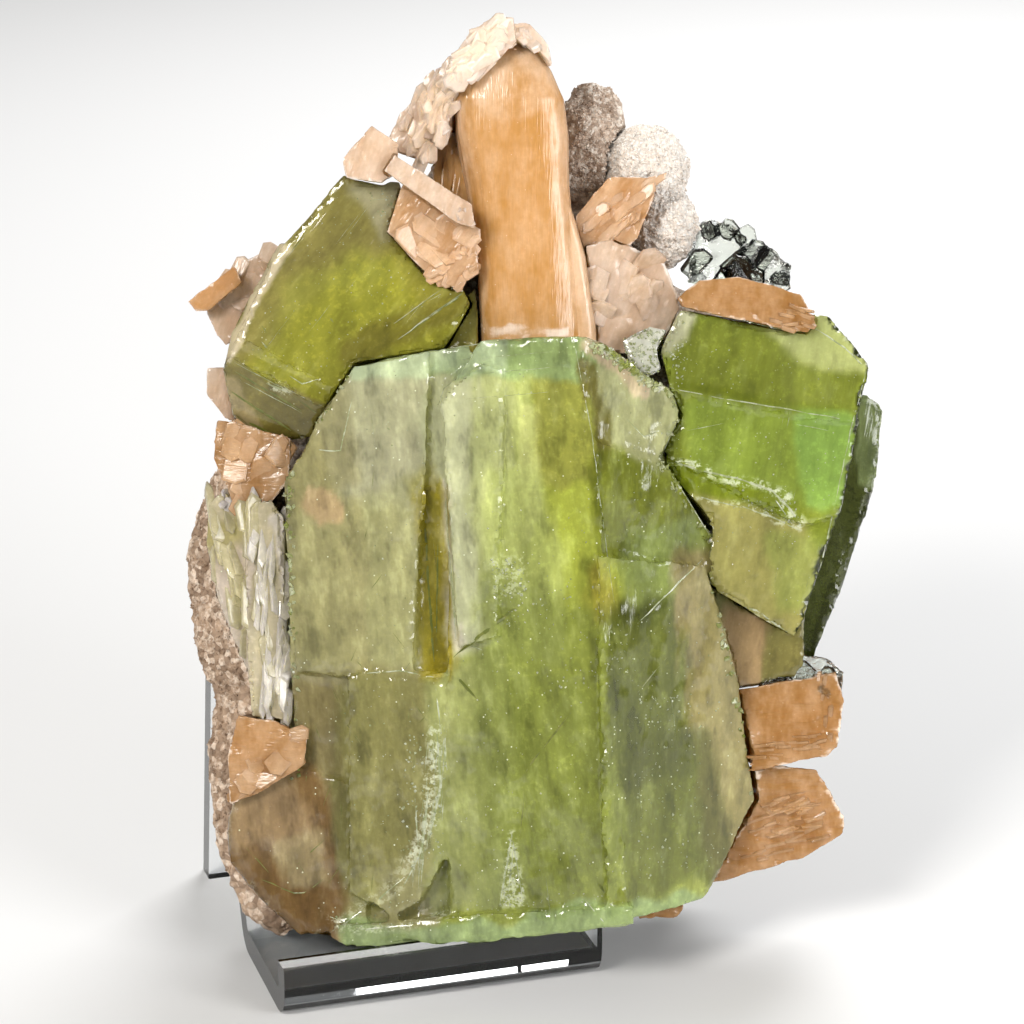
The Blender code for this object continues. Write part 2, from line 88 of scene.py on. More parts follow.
def to_cluster(metres):
    """World metres to the leaning frame: move to the foot, turn by the lean, in millimetres."""
    x, y, z = (metres * MM - FOOT).T
    return np.stack(
        (x, y * math.sin(LEAN) + z * math.cos(LEAN), z * math.sin(LEAN) - y * math.cos(LEAN)), 1)


def to_world(spots):
    """The leaning frame back to world metres, the inverse of to_cluster."""
    u, v, w = spots.T
    x = u
    y = v * math.sin(LEAN) - w * math.cos(LEAN)
    z = v * math.cos(LEAN) + w * math.sin(LEAN)
    return (np.stack((x, y, z), 1) + FOOT) / MM


def chart(spots):
    """Chart position of each spot: across and down from the middle, growing as the spot comes nearer."""
    u, v, w = spots.T
    near = CHART_REACH / (CHART_REACH - w)
    return np.stack((512 + u / CHART_UNIT * near, 512 - (v - CHART_MIDDLE) / CHART_UNIT * near), 1)


def place(across, down, w):
    """The u and v of a chart position at depth w, the inverse of chart."""
    far = CHART_UNIT * (CHART_REACH - w) / CHART_REACH
    return (across - 512) * far, CHART_MIDDLE + (512 - down) * far


def smooth(value):
    """3t² − 2t³ of the value held between 0 and 1."""
    t = np.clip(value, 0.0, 1.0)
    return t * t * (3.0 - 2.0 * t)


def scatter(cells, seed):
    """A fixed number from 0 to 1 for each whole-numbered cell: the fraction of a large sine."""
    mixed = np.sin(cells @ np.array((127.1, 311.7, 74.7)) + seed * 17.31) * 43758.5453
    return mixed - np.floor(mixed)


def swell(spots, size, seed=0):
    """Smooth noise from −1 to 1: scattered heights at the corners of cells of the given size, blended."""
    scaled = spots / size + 50.0
    base = np.floor(scaled)
    part = scaled - base
    part = part * part * (3.0 - 2.0 * part)
    total = np.zeros(len(spots))
    for corner in np.ndindex(2, 2, 2):
        share = np.prod(np.where(np.array(corner), part, 1.0 - part), axis=1)
        total += share * scatter(base + corner, seed)
    return total * 2.0 - 1.0


def rough(spots, size, seed=0, layers=3):
    """Layers of swell, each half the size and half the height of the one before."""
    size = np.asarray(size, float)
    return sum(swell(spots, size / 2 ** k, seed + k) / 2 ** k for k in range(layers))


def cells(spots, size, seed=0):
    """Nearest scattered middle of each spot: distance to it, its own number, and the height of a
    plane through it that leans its own way. Sizes are in cells, heights in the spots' units."""
    scaled = spots / size + 50.0
    base = np.floor(scaled)
    best = np.full(len(spots), 1e9)
    height = np.zeros(len(spots))
    number = np.zeros(len(spots))
    for corner in np.ndindex(3, 3, 3):
        cell = base + corner - 1.0
        away = scaled - cell - np.stack([scatter(cell, seed + k) for k in range(3)], 1)
        far = (away ** 2).sum(1)
        lean = (away * (np.stack([scatter(cell, seed + 3 + k) for k in range(3)], 1) - 0.5)).sum(1)
        closer = far < best
        best = np.where(closer, far, best)
        height = np.where(closer, lean, height)
        number = np.where(closer, scatter(cell, seed + 7), number)
    return np.sqrt(best), number, height * np.mean(size)


def run_gap(places, path):
    """Distance of each chart place to a line of straight runs."""
    gap = np.full(len(places), 1e9)
    for start, end in zip(path, path[1:]):
        start, along = np.array(start, float), np.subtract(end, start).astype(float)
        t = np.clip((places - start) @ along / (along @ along), 0.0, 1.0)
        gap = np.minimum(gap, np.linalg.norm(places - start - t[:, None] * along, axis=1))
    return gap


def touch(places, path, width, soft):
    """1 within width of a line on the chart, falling to 0 over soft."""
    return smooth(1.0 - (run_gap(places, path) - width) / soft)


def patch(places, outline, soft):
    """1 inside an outline on the chart, falling to 0 over soft outside it: even-odd crossings tell
    inside from outside, and the distance to the outline does the rest."""
    x, y = places.T
    inside = np.zeros(len(places), bool)
    for (x0, y0), (x1, y1) in zip(outline, outline[1:] + outline[:1]):
        if y0 != y1:
            inside ^= ((y0 > y) != (y1 > y)) & (x < (x1 - x0) * (y - y0) / (y1 - y0) + x0)
    gap = run_gap(places, list(outline) + [outline[0]])
    return np.where(inside, 1.0, smooth(1.0 - gap / soft))


class Stone:
    """A mesh in the cluster's frame as whole arrays: its spots, faces, edges and outward directions."""

    def __init__(self, spots, faces):
        self.spots = np.asarray(spots, float)
        self.faces = faces
        self.paint = {}
        self.measure()

    def measure(self):
        """Finds the edges and the outward directions again."""
        mesh = self.mesh("measure")
        count = len(mesh.edges)
        self.edges = np.empty(count * 2, int)
        mesh.edges.foreach_get("vertices", self.edges)
        self.edges = self.edges.reshape(-1, 2)
        ways = np.empty(len(mesh.vertices) * 3)
        mesh.vertex_normals.foreach_get("vector", ways)
        self.ways = to_cluster(ways.reshape(-1, 3) / MM) - to_cluster(np.zeros((1, 3)))
        bpy.data.meshes.remove(mesh)

    def mesh(self, name):
        """A new mesh of the stone in world metres."""
        mesh = bpy.data.meshes.new(name)
        mesh.from_pydata(to_world(self.spots), [], self.faces)
        mesh.update()
        return mesh

    def eased(self, rounds, share=0.5):
        """The spots moved part of the way to the middle of their neighbours, several times."""
        count = len(self.spots)
        a, b = self.edges.T
        links = np.bincount(a, minlength=count) + np.bincount(b, minlength=count)
        spots = self.spots
        for _ in range(rounds):
            total = np.stack([np.bincount(a, spots[b, k], count) + np.bincount(b, spots[a, k], count)
                              for k in range(3)], 1)
            spots = spots + (total / np.maximum(links, 1)[:, None] - spots) * share
        return spots

    def edge(self, rounds=5, height=0.12):
        """1 on outer edges and corners, 0 on flat faces: how far easing would sink a spot."""
        sunk = ((self.spots - self.eased(rounds)) * self.ways).sum(1)
        return smooth(sunk / height)

    def push(self, height):
        """Moves every spot outward by its own height."""
        self.spots = self.spots + self.ways * height[:, None]
        self.measure()

    def settle(self, share):
        """Eases the spots once, which takes the sharpest notches away."""
        self.spots = self.eased(1, share)
        self.measure()

    @property
    def places(self):
        """Chart positions of the spots."""
        return chart(self.spots)

    def drifted(self, size, seed, reach):
        """Chart positions moved a little by noise, so that a line laid by them has no straight rim."""
        drift = np.stack((rough(self.spots, size, seed), rough(self.spots, size, seed + 6)), 1)
        return self.places + drift * reach


def write_paint(mesh, paint):
    """Stores each kind of paint on the mesh: a number or a colour for every spot."""
    for kind, amounts in paint.items():
        amounts = np.asarray(amounts, np.float32)
        if amounts.ndim == 1:
            mesh.attributes.new(kind, "FLOAT", "POINT").data.foreach_set("value", amounts)
        else:
            full = np.column_stack((amounts, np.ones(len(amounts), np.float32)))
            mesh.attributes.new(kind, "FLOAT_COLOR", "POINT").data.foreach_set("color", full.ravel())


class Tone:
    """The stone's colour, laid on in soft coats one over the other; some coats are painted shade."""

    def __init__(self, stone, base, grain=(1.1, 7.0), reach=9.0, seed=31):
        across, along = grain
        size = (across, along, across)
        drift = np.stack((rough(stone.spots, size, seed), rough(stone.spots, (4.0,) * 3, seed + 6)), 1)
        self.places = stone.places + drift * reach
        self.colour = np.tile(np.array(base, float), (len(stone.spots), 1))
        self.shade = 1.0 + SHADE_VARIATION * rough(stone.spots, (1.6, 6.0, 1.6), seed + 9)
        self.clear = np.ones(len(stone.spots))

    def coat(self, colour, outline, soft, strength=1.0, clear=None):
        """Lays a coat inside an outline, or along a line where soft is a pair of width and softness."""
        if isinstance(soft, tuple):
            mask = touch(self.places, outline, *soft)
        else:
            mask = smooth(patch(self.places, outline, soft * COAT_SOFTENING))
        mask = mask * strength
        self.colour += (np.array(colour) - self.colour) * mask[:, None]
        if clear is not None:
            self.clear += (clear - self.clear) * mask

    def coat_all(self, coats):
        """Lays a list of coats in its order."""
        for coat in coats:
            self.coat(*coat)

    def paint(self, glint):
        """What the green finishes read: colour, share of see-through, and painted glints."""
        tone = np.clip(self.colour * self.shade[:, None], 0.0, 1.0)
        return {"tone": tone, "clear": self.clear, "glint": glint}


def link(made):
    """Puts an object into the scene."""
    bpy.context.scene.collection.objects.link(made)


def node_faces(node):
    """A CAD node's solid as a merged mesh."""
    mesh = bpy.data.objects[node].data.copy()
    bm = bmesh.new()
    bm.from_mesh(mesh)
    bmesh.ops.remove_doubles(bm, verts=bm.verts, dist=1e-6)
    bm.to_mesh(mesh)
    bm.free()
    return mesh


COARSE = 1.0


def even_stone(node, cell):
    """The node's solid covered again with small even squares of the given size in millimetres, each
    corner drawn back onto the solid's own faces."""
    solid = bpy.data.objects.new("solid", node_faces(node))
    work = bpy.data.objects.new("work", solid.data.copy())
    for made in (solid, work):
        link(made)
    squares = work.modifiers.new("squares", "REMESH")
    squares.mode = "VOXEL"
    squares.voxel_size = cell * COARSE / MM
    drawn = work.modifiers.new("drawn", "SHRINKWRAP")
    drawn.target = solid
    drawn.wrap_method = "NEAREST_SURFACEPOINT"
    mesh = bpy.data.meshes.new_from_object(work.evaluated_get(bpy.context.evaluated_depsgraph_get()))
    spots = np.empty(len(mesh.vertices) * 3)
    mesh.vertices.foreach_get("co", spots)
    corners = np.empty(len(mesh.loops), int)
    mesh.loops.foreach_get("vertex_index", corners)
    stone = Stone(to_cluster(spots.reshape(-1, 3)), corners.reshape(-1, 4))
    for made in (solid, work):
        old = made.data
        bpy.data.objects.remove(made)
        bpy.data.meshes.remove(old)
    bpy.data.meshes.remove(mesh)
    return stone


def show(name, stone, material, node, sharp=24.0):
    """Puts a stone into the scene as the piece that stands for its CAD node. Edges past sharp
    degrees stay crisp."""
    mesh = stone.mesh(name)
    write_paint(mesh, stone.paint)
    mesh.polygons.foreach_set("use_smooth", np.ones(len(mesh.polygons), bool))
    mesh.set_sharp_from_angle(angle=math.radians(sharp))
    mesh.materials.append(material)
    made = bpy.data.objects.new(name, mesh)
    link(made)
    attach(made, "root")
    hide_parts(node)


def joined(stones):
    """Several stones as one."""
    spots, faces, count = [], [], 0
    for stone in stones:
        spots.append(stone.spots)
        faces.extend((np.asarray(face) + count).tolist() for face in stone.faces)
        count += len(stone.spots)
    return Stone(np.concatenate(spots), faces)


EYE = Vector((0.0, CHART_MIDDLE, CHART_REACH))


class Host:
    """A finished stone that veins and sparkles are laid on, found by chart position."""

    def __init__(self, stone):
        self.tree = BVHTree.FromPolygons(stone.spots.tolist(), [list(face) for face in stone.faces])

    def at(self, across, down):
        """The spot of the stone that shows at a chart position, and its outward direction."""
        u, v = place(across, down, 0.0)
        hit, way, _, _ = self.tree.ray_cast(EYE, Vector((u, v, 0.0)) - EYE)
        return (None, None) if hit is None else (np.array(hit), np.array(way))


def vein(host, path, width, lift, chance):
    """A thin ridge along a chart path: a four-sided section, width across and lift high, which tapers
    to both ends and wanders a little. Its spots are the path's own, looked up on the host."""
    rows = []
    total = sum(math.dist(a, b) for a, b in zip(path, path[1:]))
    count = max(int(total / VEIN_STEP), 3)
    marks = np.cumsum([0.0] + [math.dist(a, b) for a, b in zip(path, path[1:])])
    at = np.linspace(0.0, total, count)
    line = np.stack([np.interp(at, marks, [point[k] for point in path]) for k in (0, 1)], 1)
    line[1:-1] += chance.normal(0.0, VEIN_WANDER, (count - 2, 2))
    for number, (across, down) in enumerate(line):
        spot, way = host.at(across, down)
        if spot is not None:
            share = number / (count - 1)
            rows.append((spot, way, 4.0 * share * (1.0 - share)))
    if len(rows) < 3:
        return None
    spots, ways, fat = (np.array(column) for column in zip(*rows))
    along = np.gradient(spots, axis=0)
    side = np.cross(along, ways)
    side /= np.maximum(np.linalg.norm(side, axis=1), 1e-9)[:, None]
    fat = (0.25 + 0.75 * np.sqrt(fat) * chance.uniform(0.5, 1.0, len(fat)))[:, None]
    half = 0.5 * width * CHART_UNIT * fat
    ring = np.stack((spots - side * half, spots + ways * lift * fat, spots + side * half,
                     spots - ways * VEIN_ROOT), 1)
    ends = np.stack((spots[0] - along[0] * VEIN_TIP, spots[-1] + along[-1] * VEIN_TIP))
    return Stone(np.concatenate((ring.reshape(-1, 3), ends)), tube_faces(len(spots), 4))


def sparkles(host, outline, count, size, chance):
    """Small eight-faced bits half sunk in the host, each turned and stretched its own way."""
    low, high = np.min(outline, 0), np.max(outline, 0)
    tries = chance.uniform(low, high, (count * 3, 2))
    tries = tries[patch(tries, outline, 0.5) > 0.99][:count]
    found = [spot for spot, _ in (host.at(*one) for one in tries) if spot is not None]
    if not found:
        return None
    middles = np.array(found)
    bit = np.array(((1, 0, 0), (-1, 0, 0), (0, 1, 0), (0, -1, 0), (0, 0, 1), (0, 0, -1)), float)
    frames = np.linalg.qr(chance.normal(size=(len(middles), 3, 3)))[0]
    frames *= np.sign(np.linalg.det(frames))[:, None, None]
    count = len(middles)
    scale = size * chance.uniform(0.4, 1.0, (count, 1, 1)) * chance.uniform(0.4, 1.2, (count, 1, 3))
    spots = (bit[None] * scale) @ frames + middles[:, None]
    faces = np.array([(0, 2, 4), (2, 1, 4), (1, 3, 4), (3, 0, 4),
                      (2, 0, 5), (1, 2, 5), (3, 1, 5), (0, 3, 5)])
    faces = (faces[None] + len(bit) * np.arange(count)[:, None, None]).reshape(-1, 3)
    return Stone(spots.reshape(-1, 3), faces.tolist())


def plates(host, outline, count, size, long_way, thin_way, spread, sink, chance):
    """Small crystal plates half grown into the host: a six-sided outline with pointed ends along
    long_way, thin along thin_way, its rims bevelled. Each is stretched and turned a little its own
    way, and size is (length, width, thickness) in millimetres."""
    low, high = np.min(outline, 0), np.max(outline, 0)
    tries = chance.uniform(low, high, (count * 4, 2))
    tries = tries[patch(tries, outline, 0.5) > 0.99][:count]
    found = [(spot, way) for spot, way in (host.at(*one) for one in tries) if spot is not None]
    if not found:
        return None
    middles = np.array([spot for spot, _ in found]) - sink * np.array([way for _, way in found])
    rim = np.array(((-0.5, -0.36), (-0.1, -0.5), (0.5, -0.40), (0.5, 0.34), (0.12, 0.5), (-0.5, 0.38)))
    rings = [np.column_stack((rim * share, np.full(6, depth)))
             for share, depth in ((0.86, -0.5), (1.0, -0.36), (1.0, 0.36), (0.86, 0.5))]
    form = np.concatenate(rings)[:, (1, 0, 2)]
    number = len(middles)
    form = form[None] * (np.array(size) * chance.uniform(0.55, 1.15, (number, 1, 3)))
    form[..., 2] += form[..., 0] * chance.normal(0.0, 0.08, (number, 1))
    long_way = np.array(long_way, float) + chance.normal(0.0, spread, (number, 3))
    thin_way = np.array(thin_way, float) + chance.normal(0.0, spread, (number, 3))
    long_way /= np.linalg.norm(long_way, axis=1)[:, None]
    wide_way = np.cross(thin_way, long_way)
    wide_way /= np.linalg.norm(wide_way, axis=1)[:, None]
    thin_way = np.cross(long_way, wide_way)
    spots = form @ np.stack((long_way, wide_way, thin_way), 1) + middles[:, None]
    j = np.arange(6)
    walls = [np.stack((6 * k + j, 6 * k + (j + 1) % 6, 6 * k + 6 + (j + 1) % 6, 6 * k + 6 + j), 1)
             for k in range(3)]
    walls = np.concatenate(walls)[:, ::-1]
    faces = (walls[None] + 24 * np.arange(number)[:, None, None]).reshape(-1, 4).tolist()
    for k in range(number):
        faces.append((24 * k + j).tolist())
        faces.append((24 * k + 18 + j[::-1]).tolist())
    stone = Stone(spots.reshape(-1, 3), faces)
    inward = ((stone.spots - np.repeat(middles, 24, 0)) * stone.ways).sum() < 0
    if inward:
        stone.faces = [face[::-1] for face in stone.faces]
        stone.measure()
    return stone


def lay(name, stones, material):
    """Shows veins, sparkles or plates as one extra piece that stands for no node of its own."""
    stones = [one for one in stones if one is not None]
    stone = stones[0] if len(stones) == 1 else joined(stones)
    mesh = stone.mesh(name)
    write_paint(mesh, stone.paint)
    mesh.materials.append(material)
    made = bpy.data.objects.new(name, mesh)
    link(made)
    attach(made, "root")


def lay_lines(name, host, paths, share, lift, material, chance):
    """Lays a vein along each path of a list of paths and widths, its width scaled by share."""
    lay(name, [vein(host, path, width * share, lift, chance) for path, width in paths], material)


def lay_dots(name, host, spread, material, chance):
    """Lays sparkles inside each outline of a list of outlines, counts and sizes."""
    lay(name, [sparkles(host, outline, count, size, chance) for outline, count, size in spread],
        material)


def tube_faces(rings, sides):
    """Square faces between closed rings of spots, with a fan at each pole spot after them."""
    i, j = np.meshgrid(np.arange(rings - 1), np.arange(sides), indexing="ij")
    a, b = i * sides + j, i * sides + (j + 1) % sides
    squares = np.stack((a, b, b + sides, a + sides), -1).reshape(-1, 4).tolist()
    j = np.arange(sides)
    low = np.stack((np.full(sides, rings * sides), (j + 1) % sides, j), 1).tolist()
    last = (rings - 1) * sides
    high = np.stack((np.full(sides, rings * sides + 1), last + j, last + (j + 1) % sides), 1).tolist()
    return squares + low + high


# ---------------------------------------------------------------- shader maths


class Value:
    """A node's output that takes part in sums."""

    def __init__(self, finish, socket):
        self.finish = finish
        self.socket = socket

    def math(self, operation, *others):
        """The result of a sum with other values or numbers."""
        return self.finish.node("ShaderNodeMath", {"operation": operation}, self, *others)

    def __add__(self, other):
        return self.math("ADD", other)

    def __sub__(self, other):
        return self.math("SUBTRACT", other)

    def __mul__(self, other):
        return self.math("MULTIPLY", other)

    def __rsub__(self, other):
        return self.finish.node("ShaderNodeMath", {"operation": "SUBTRACT"}, other, self)

    __radd__ = __add__
    __rmul__ = __mul__

    def above(self, low, high):
        """0 below low and 1 above high, smooth between them. Low may be the larger number."""
        return self.finish.node("ShaderNodeMapRange", {"interpolation_type": "SMOOTHSTEP"}, self, low, high)


class Finish:
    """One material and the nodes that it is made from."""

    def __init__(self, name):
        self.material = bpy.data.materials.new(name)
        self.material.use_nodes = True
        self.tree = self.material.node_tree
        self.tree.nodes.clear()

    def node(self, kind, settings, *values, out=0, **named):
        """Adds a node, sets its settings, then gives its sockets values or links in order or by name."""
        made = self.tree.nodes.new(kind)
        for key, setting in settings.items():
            setattr(made, key, setting)
        for key, value in [*enumerate(values), *named.items()]:
            socket = made.inputs[key if isinstance(key, int) else key.replace("_", " ")]
            if isinstance(value, Value):
                self.tree.links.new(value.socket, socket)
            elif value is not None:
                if hasattr(value, "__len__") and socket.type == "RGBA" and len(value) == 3:
                    value = (*value, 1.0)
                socket.default_value = value
        return Value(self, made.outputs[out])

    def mix(self, share, first, second):
        """A colour between the first and the second."""
        made = self.tree.nodes.new("ShaderNodeMix")
        made.data_type = "RGBA"
        for socket, value in zip((made.inputs[0], made.inputs[6], made.inputs[7]), (share, first, second)):
            if isinstance(value, Value):
                self.tree.links.new(value.socket, socket)
            else:
                socket.default_value = value if isinstance(value, float) else (*value, 1.0)
        return Value(self, made.outputs[2])

    def shade(self, colour, amount):
        """A colour made lighter or darker by a factor."""
        return self.node("ShaderNodeVectorMath", {"operation": "SCALE"}, colour, Scale=amount)

    def spots(self):
        """Object coordinates turned upright into the cluster's frame, in millimetres: u, −w, v."""
        where = self.node("ShaderNodeTexCoord", {}, out=3)
        back = (FOOT[0], FOOT[1] * math.cos(LEAN) - FOOT[2] * math.sin(LEAN),
                FOOT[1] * math.sin(LEAN) + FOOT[2] * math.cos(LEAN))
        return self.node("ShaderNodeMapping", {"vector_type": "POINT"}, where,
                         tuple(-x for x in back), (LEAN, 0.0, 0.0), (MM,) * 3)

    def stretched(self, spots, across, deep, along):
        """The spots scaled, so that a pattern is long where its factor is small."""
        return self.node("ShaderNodeMapping", {"vector_type": "POINT"}, spots, (0, 0, 0), (0, 0, 0),
                         (across, deep, along))

    def turned(self, spots, degrees):
        """The spots turned in the face's plane, so that a pattern along v leans to the left."""
        return self.node("ShaderNodeMapping", {"vector_type": "POINT"}, spots, (0, 0, 0),
                         (0.0, math.radians(degrees), 0.0), (1.0,) * 3)

    def noise(self, spots, scale, detail=2.0, rough=0.5):
        """Clouds from 0 to 1, about 1 / scale of a millimetre across."""
        return self.node("ShaderNodeTexNoise", {}, spots, Scale=scale, Detail=detail, Roughness=rough)

    def crumbs(self, spots, scale, out=0):
        """Distance to the nearest of scattered middles, or with out=1 a colour of its own for each."""
        return self.node("ShaderNodeTexVoronoi", {}, spots, Scale=scale, out=out)

    def painted(self, kind):
        """A number stored on the mesh, 0 where the mesh has none of that kind."""
        return self.node("ShaderNodeAttribute", {"attribute_name": kind}, out=2)

    def bump(self, height, depth):
        """Depth is in millimetres for a height from 0 to 1."""
        return self.node("ShaderNodeBump", {}, Strength=1.0, Distance=depth / MM, Height=height)

    def skin(self, colour, roughness, normal, **sockets):
        """The Principled shader with its plain settings by name."""
        return self.node("ShaderNodeBsdfPrincipled", {"subsurface_method": "BURLEY"}, Base_Color=colour,
                         Roughness=roughness, Normal=normal, **sockets)

    def blend(self, share, first, second):
        """The first shader where share is 0 and the second where it is 1."""
        return self.node("ShaderNodeMixShader", {}, share, first, second)

    def done(self, shader):
        """Ends the material with its shader and hands it over."""
        out = self.tree.nodes.new("ShaderNodeOutputMaterial")
        self.tree.links.new(shader.socket, out.inputs["Surface"])
        return self.material


def green_stone(name, lean=6.0, sparkle_share=1.0, haze=1.0, clear=0.3, gem_tint=(0.90, 0.95, 0.36)):
    """Apophyllite: its laid-on tone, clouded and streaked along its length, with painted sparkles and glints,
    over clear green.
    """
    f = Finish(name)
    spots = f.spots()
    along = f.turned(spots, lean)
    clouds = f.noise(f.stretched(along, 0.42, 0.42, 0.17), 1.0, 3.0, 0.68)
    mottle = f.noise(spots, 1.2, 2.0, 0.8)
    lines = f.noise(f.stretched(along, 4.0, 4.0, 0.12), 1.0, 1.0, 0.6)
    tone = f.node("ShaderNodeAttribute", {"attribute_name": "tone"})
    pale = f.mix(0.14, f.shade(tone, 1.6), GREEN_VEIL)
    colour = f.mix(clouds.above(0.5, 0.74) * (0.75 * haze), tone, pale)
    colour = f.mix((1.0 - clouds.above(0.28, 0.5)) * (0.8 * haze), colour, f.shade(tone, 0.5))
    colour = f.shade(colour, 0.78 + mottle * 0.32 + lines * 0.12)
    # Painted sparkles: scattered small spots, and the mesh's glint paint, are mixed to a pale colour and
    # stand for glints from tiny inner cracks.
    near = f.noise(spots, 0.35, 1.0, 0.6)
    sparkle_spots = f.crumbs(spots, 1.15).above(0.15, 0.05) * near.above(0.50, 0.62) * sparkle_share
    glints = (sparkle_spots * 0.8 + f.painted("glint") * mottle.above(0.42, 0.62)).above(0.0, 1.0)
    colour = f.mix(glints, colour, GREEN_SPARKLE)
    normal = f.bump(lines, 0.02)
    body = f.skin(colour, 0.04 + mottle * 0.12 + glints * 0.3, normal, IOR=APOPHYLLITE_IOR,
                  Subsurface_Weight=0.35, Subsurface_Radius=(1.0, 1.0, 0.3), Subsurface_Scale=0.005)
    gem = f.skin(gem_tint, 0.01 + mottle * 0.14, normal, IOR=APOPHYLLITE_IOR, Transmission_Weight=1.0)
    share = f.painted("clear") * clear - glints - mottle.above(0.52, 0.72) * 0.2
    return f.done(f.blend(share.above(0.0, 1.0), body, gem))


def silky_stone(name, low, mid, high, rim, lines=(5.0, 0.10), turn=0.0, clear=0.15,
                depth=(0.99, 0.82, 0.60)):
    """Stilbite: peach, silky along its blades, whiter where it is broken."""
    f = Finish(name)
    spots = f.spots()
    along = f.turned(spots, turn)
    clouds = f.noise(f.stretched(along, 0.35, 0.35, 0.16), 1.0, 3.0, 0.68)
    fine = f.noise(f.stretched(along, lines[0], lines[0], lines[1]), 1.0, 1.0, 0.6)
    mottle = f.noise(spots, 1.4, 2.0, 0.8)
    colour = f.mix(clouds.above(0.32, 0.66), low, mid)
    pale = f.painted("pale") + (clouds - 0.5) * 1.2 + (mottle - 0.5) * 0.2
    colour = f.mix(pale.above(0.0, 1.0), colour, high)
    colour = f.mix((f.painted("rim") + (mottle - 0.5) * FROST).above(0.2, 0.9), colour, rim)
    colour = f.shade(colour, 0.86 + fine * 0.14 + mottle * 0.14)
    # Painted sparkles: scattered small pale spots that stand for glints.
    sparkle_spots = f.crumbs(spots, 1.6).above(0.12, 0.04) * mottle.above(0.52, 0.60)
    colour = f.mix(sparkle_spots * 0.5, colour, PEACH_SPARKLE)
    normal = f.bump(fine, SILK_DEPTH)
    body = f.skin(colour, 0.10 + mottle * 0.16 + f.painted("rim") * 0.2, normal, IOR=STILBITE_IOR,
                  Subsurface_Weight=0.4, Subsurface_Radius=(1.3, 0.8, 0.4), Subsurface_Scale=0.006)
    gem = f.skin(depth, 0.10 + mottle * 0.25, normal, IOR=STILBITE_IOR, Transmission_Weight=1.0)
    veil = f.painted("rim") * 0.5 + sparkle_spots + mottle.above(0.48, 0.68) * 0.4
    return f.done(f.blend((clear - veil * clear).above(0.0, 1.0), body, gem))


def grainy_stone(name, low, mid, high, size, depth, stain=None):
    """Rock or crust of small crystals: each grain has its own shade of colour, and the gaps between grains
    are darkened with painted shade.
    """
    f = Finish(name)
    spots = f.spots()
    patches = f.noise(spots, 0.22, 2.0, 0.6)
    grain = f.crumbs(spots, size, out=1)
    gap = f.crumbs(spots, size)
    fine = f.noise(spots, size * 1.7, 1.0, 0.7)
    tone = f.node("ShaderNodeRGBToBW", {}, grain)
    colour = f.mix((tone * 0.6 + patches * 0.7).above(0.3, 1.0), low, mid)
    colour = f.mix((tone + fine - 0.6 + f.painted("rim")).above(0.35, 1.1), colour, high)
    if stain:
        colour = f.mix(((patches - 0.5) * 0.8).above(0.1, 0.9), colour, stain)
    # Painted shade: the colour is darkened in the gaps between grains.
    colour = f.shade(colour, 1.04 - gap.above(0.3, 0.9) * 0.22)
    height = (1.0 - gap) + fine * 0.6
    return f.done(f.skin(colour, 0.55 + tone * 0.2, f.bump(height, depth), IOR=1.5,
                         Subsurface_Weight=0.15, Subsurface_Radius=(1.0, 0.8, 0.6),
                         Subsurface_Scale=0.002))


def glassy_stone(name, tint, smoothest, cracks):
    """Colourless crystal: plain transmission through faces with small growth steps."""
    f = Finish(name)
    spots = f.spots()
    steps = f.noise(f.stretched(spots, 1.2, 1.2, 3.5), 1.0, 3.0, 0.6)
    veil = f.noise(spots, 0.9, 4.0, 0.7)
    roughness = smoothest + veil.above(0.5, 0.75) * cracks
    return f.done(f.skin(tint, roughness, f.bump(steps, 0.08), IOR=CLEAR_CRYSTAL_IOR,
                         Transmission_Weight=1.0))


def two_tone_stone(name, first, second, roughness, scale=1.2, detail=2.0, low=0.4, high=0.6, **sockets):
    """Crumbs, ledges and lines on the green stone: two colours in soft clouds."""
    f = Finish(name)
    colour = f.mix(f.noise(f.spots(), scale, detail).above(low, high), first, second)
    return f.done(f.skin(colour, roughness, None, IOR=APOPHYLLITE_IOR, **sockets))


# ---------------------------------------------------------------- finishes

GREEN = green_stone("apophyllite_green")
GREEN_TILTED = green_stone("apophyllite_green_tilted", lean=-38.0, sparkle_share=0.5, haze=0.7)
GREEN_DARK = green_stone("apophyllite_green_dark", lean=-12.0, sparkle_share=0.4, haze=0.6)
GREEN_DEEP = green_stone("apophyllite_green_deep", lean=-8.0, sparkle_share=0.2, haze=0.7, clear=0.4,
                         gem_tint=(0.5, 0.6, 0.1))
GREEN_PALE = green_stone("apophyllite_pale", lean=2.0, haze=0.5, gem_tint=(0.95, 0.95, 0.80))
PEACH = silky_stone("stilbite_peach", (0.54, 0.26, 0.07), (0.65, 0.355, 0.15), (0.79, 0.53, 0.34),
                    (0.93, 0.73, 0.58), clear=0.1)
PEACH_SLANT = silky_stone("stilbite_peach_slanting", (0.52, 0.25, 0.09), (0.64, 0.36, 0.17),
                          (0.80, 0.52, 0.33), (0.94, 0.76, 0.62), turn=-35.0)
PEACH_FLAT = silky_stone("stilbite_peach_blocks", (0.36, 0.165, 0.045), (0.47, 0.245, 0.095),
                         (0.62, 0.38, 0.21), (0.90, 0.72, 0.56), lines=(0.8, 4.0))
PINK = silky_stone("stilbite_pinkish", (0.60, 0.39, 0.25), (0.74, 0.53, 0.38), (0.89, 0.70, 0.55),
                   (0.95, 0.83, 0.72), lines=(3.0, 0.5), turn=-20.0, depth=(0.99, 0.90, 0.78))
SUGAR = grainy_stone("white_sugary_grains", (0.93, 0.82, 0.72), (0.97, 0.90, 0.82), (0.98, 0.96, 0.92),
                     2.6, 0.12)
CRUST = grainy_stone("pinkish_crust", (0.30, 0.20, 0.13), (0.64, 0.45, 0.31), (0.95, 0.80, 0.66),
                     1.2, 0.2, stain=(0.66, 0.30, 0.14))
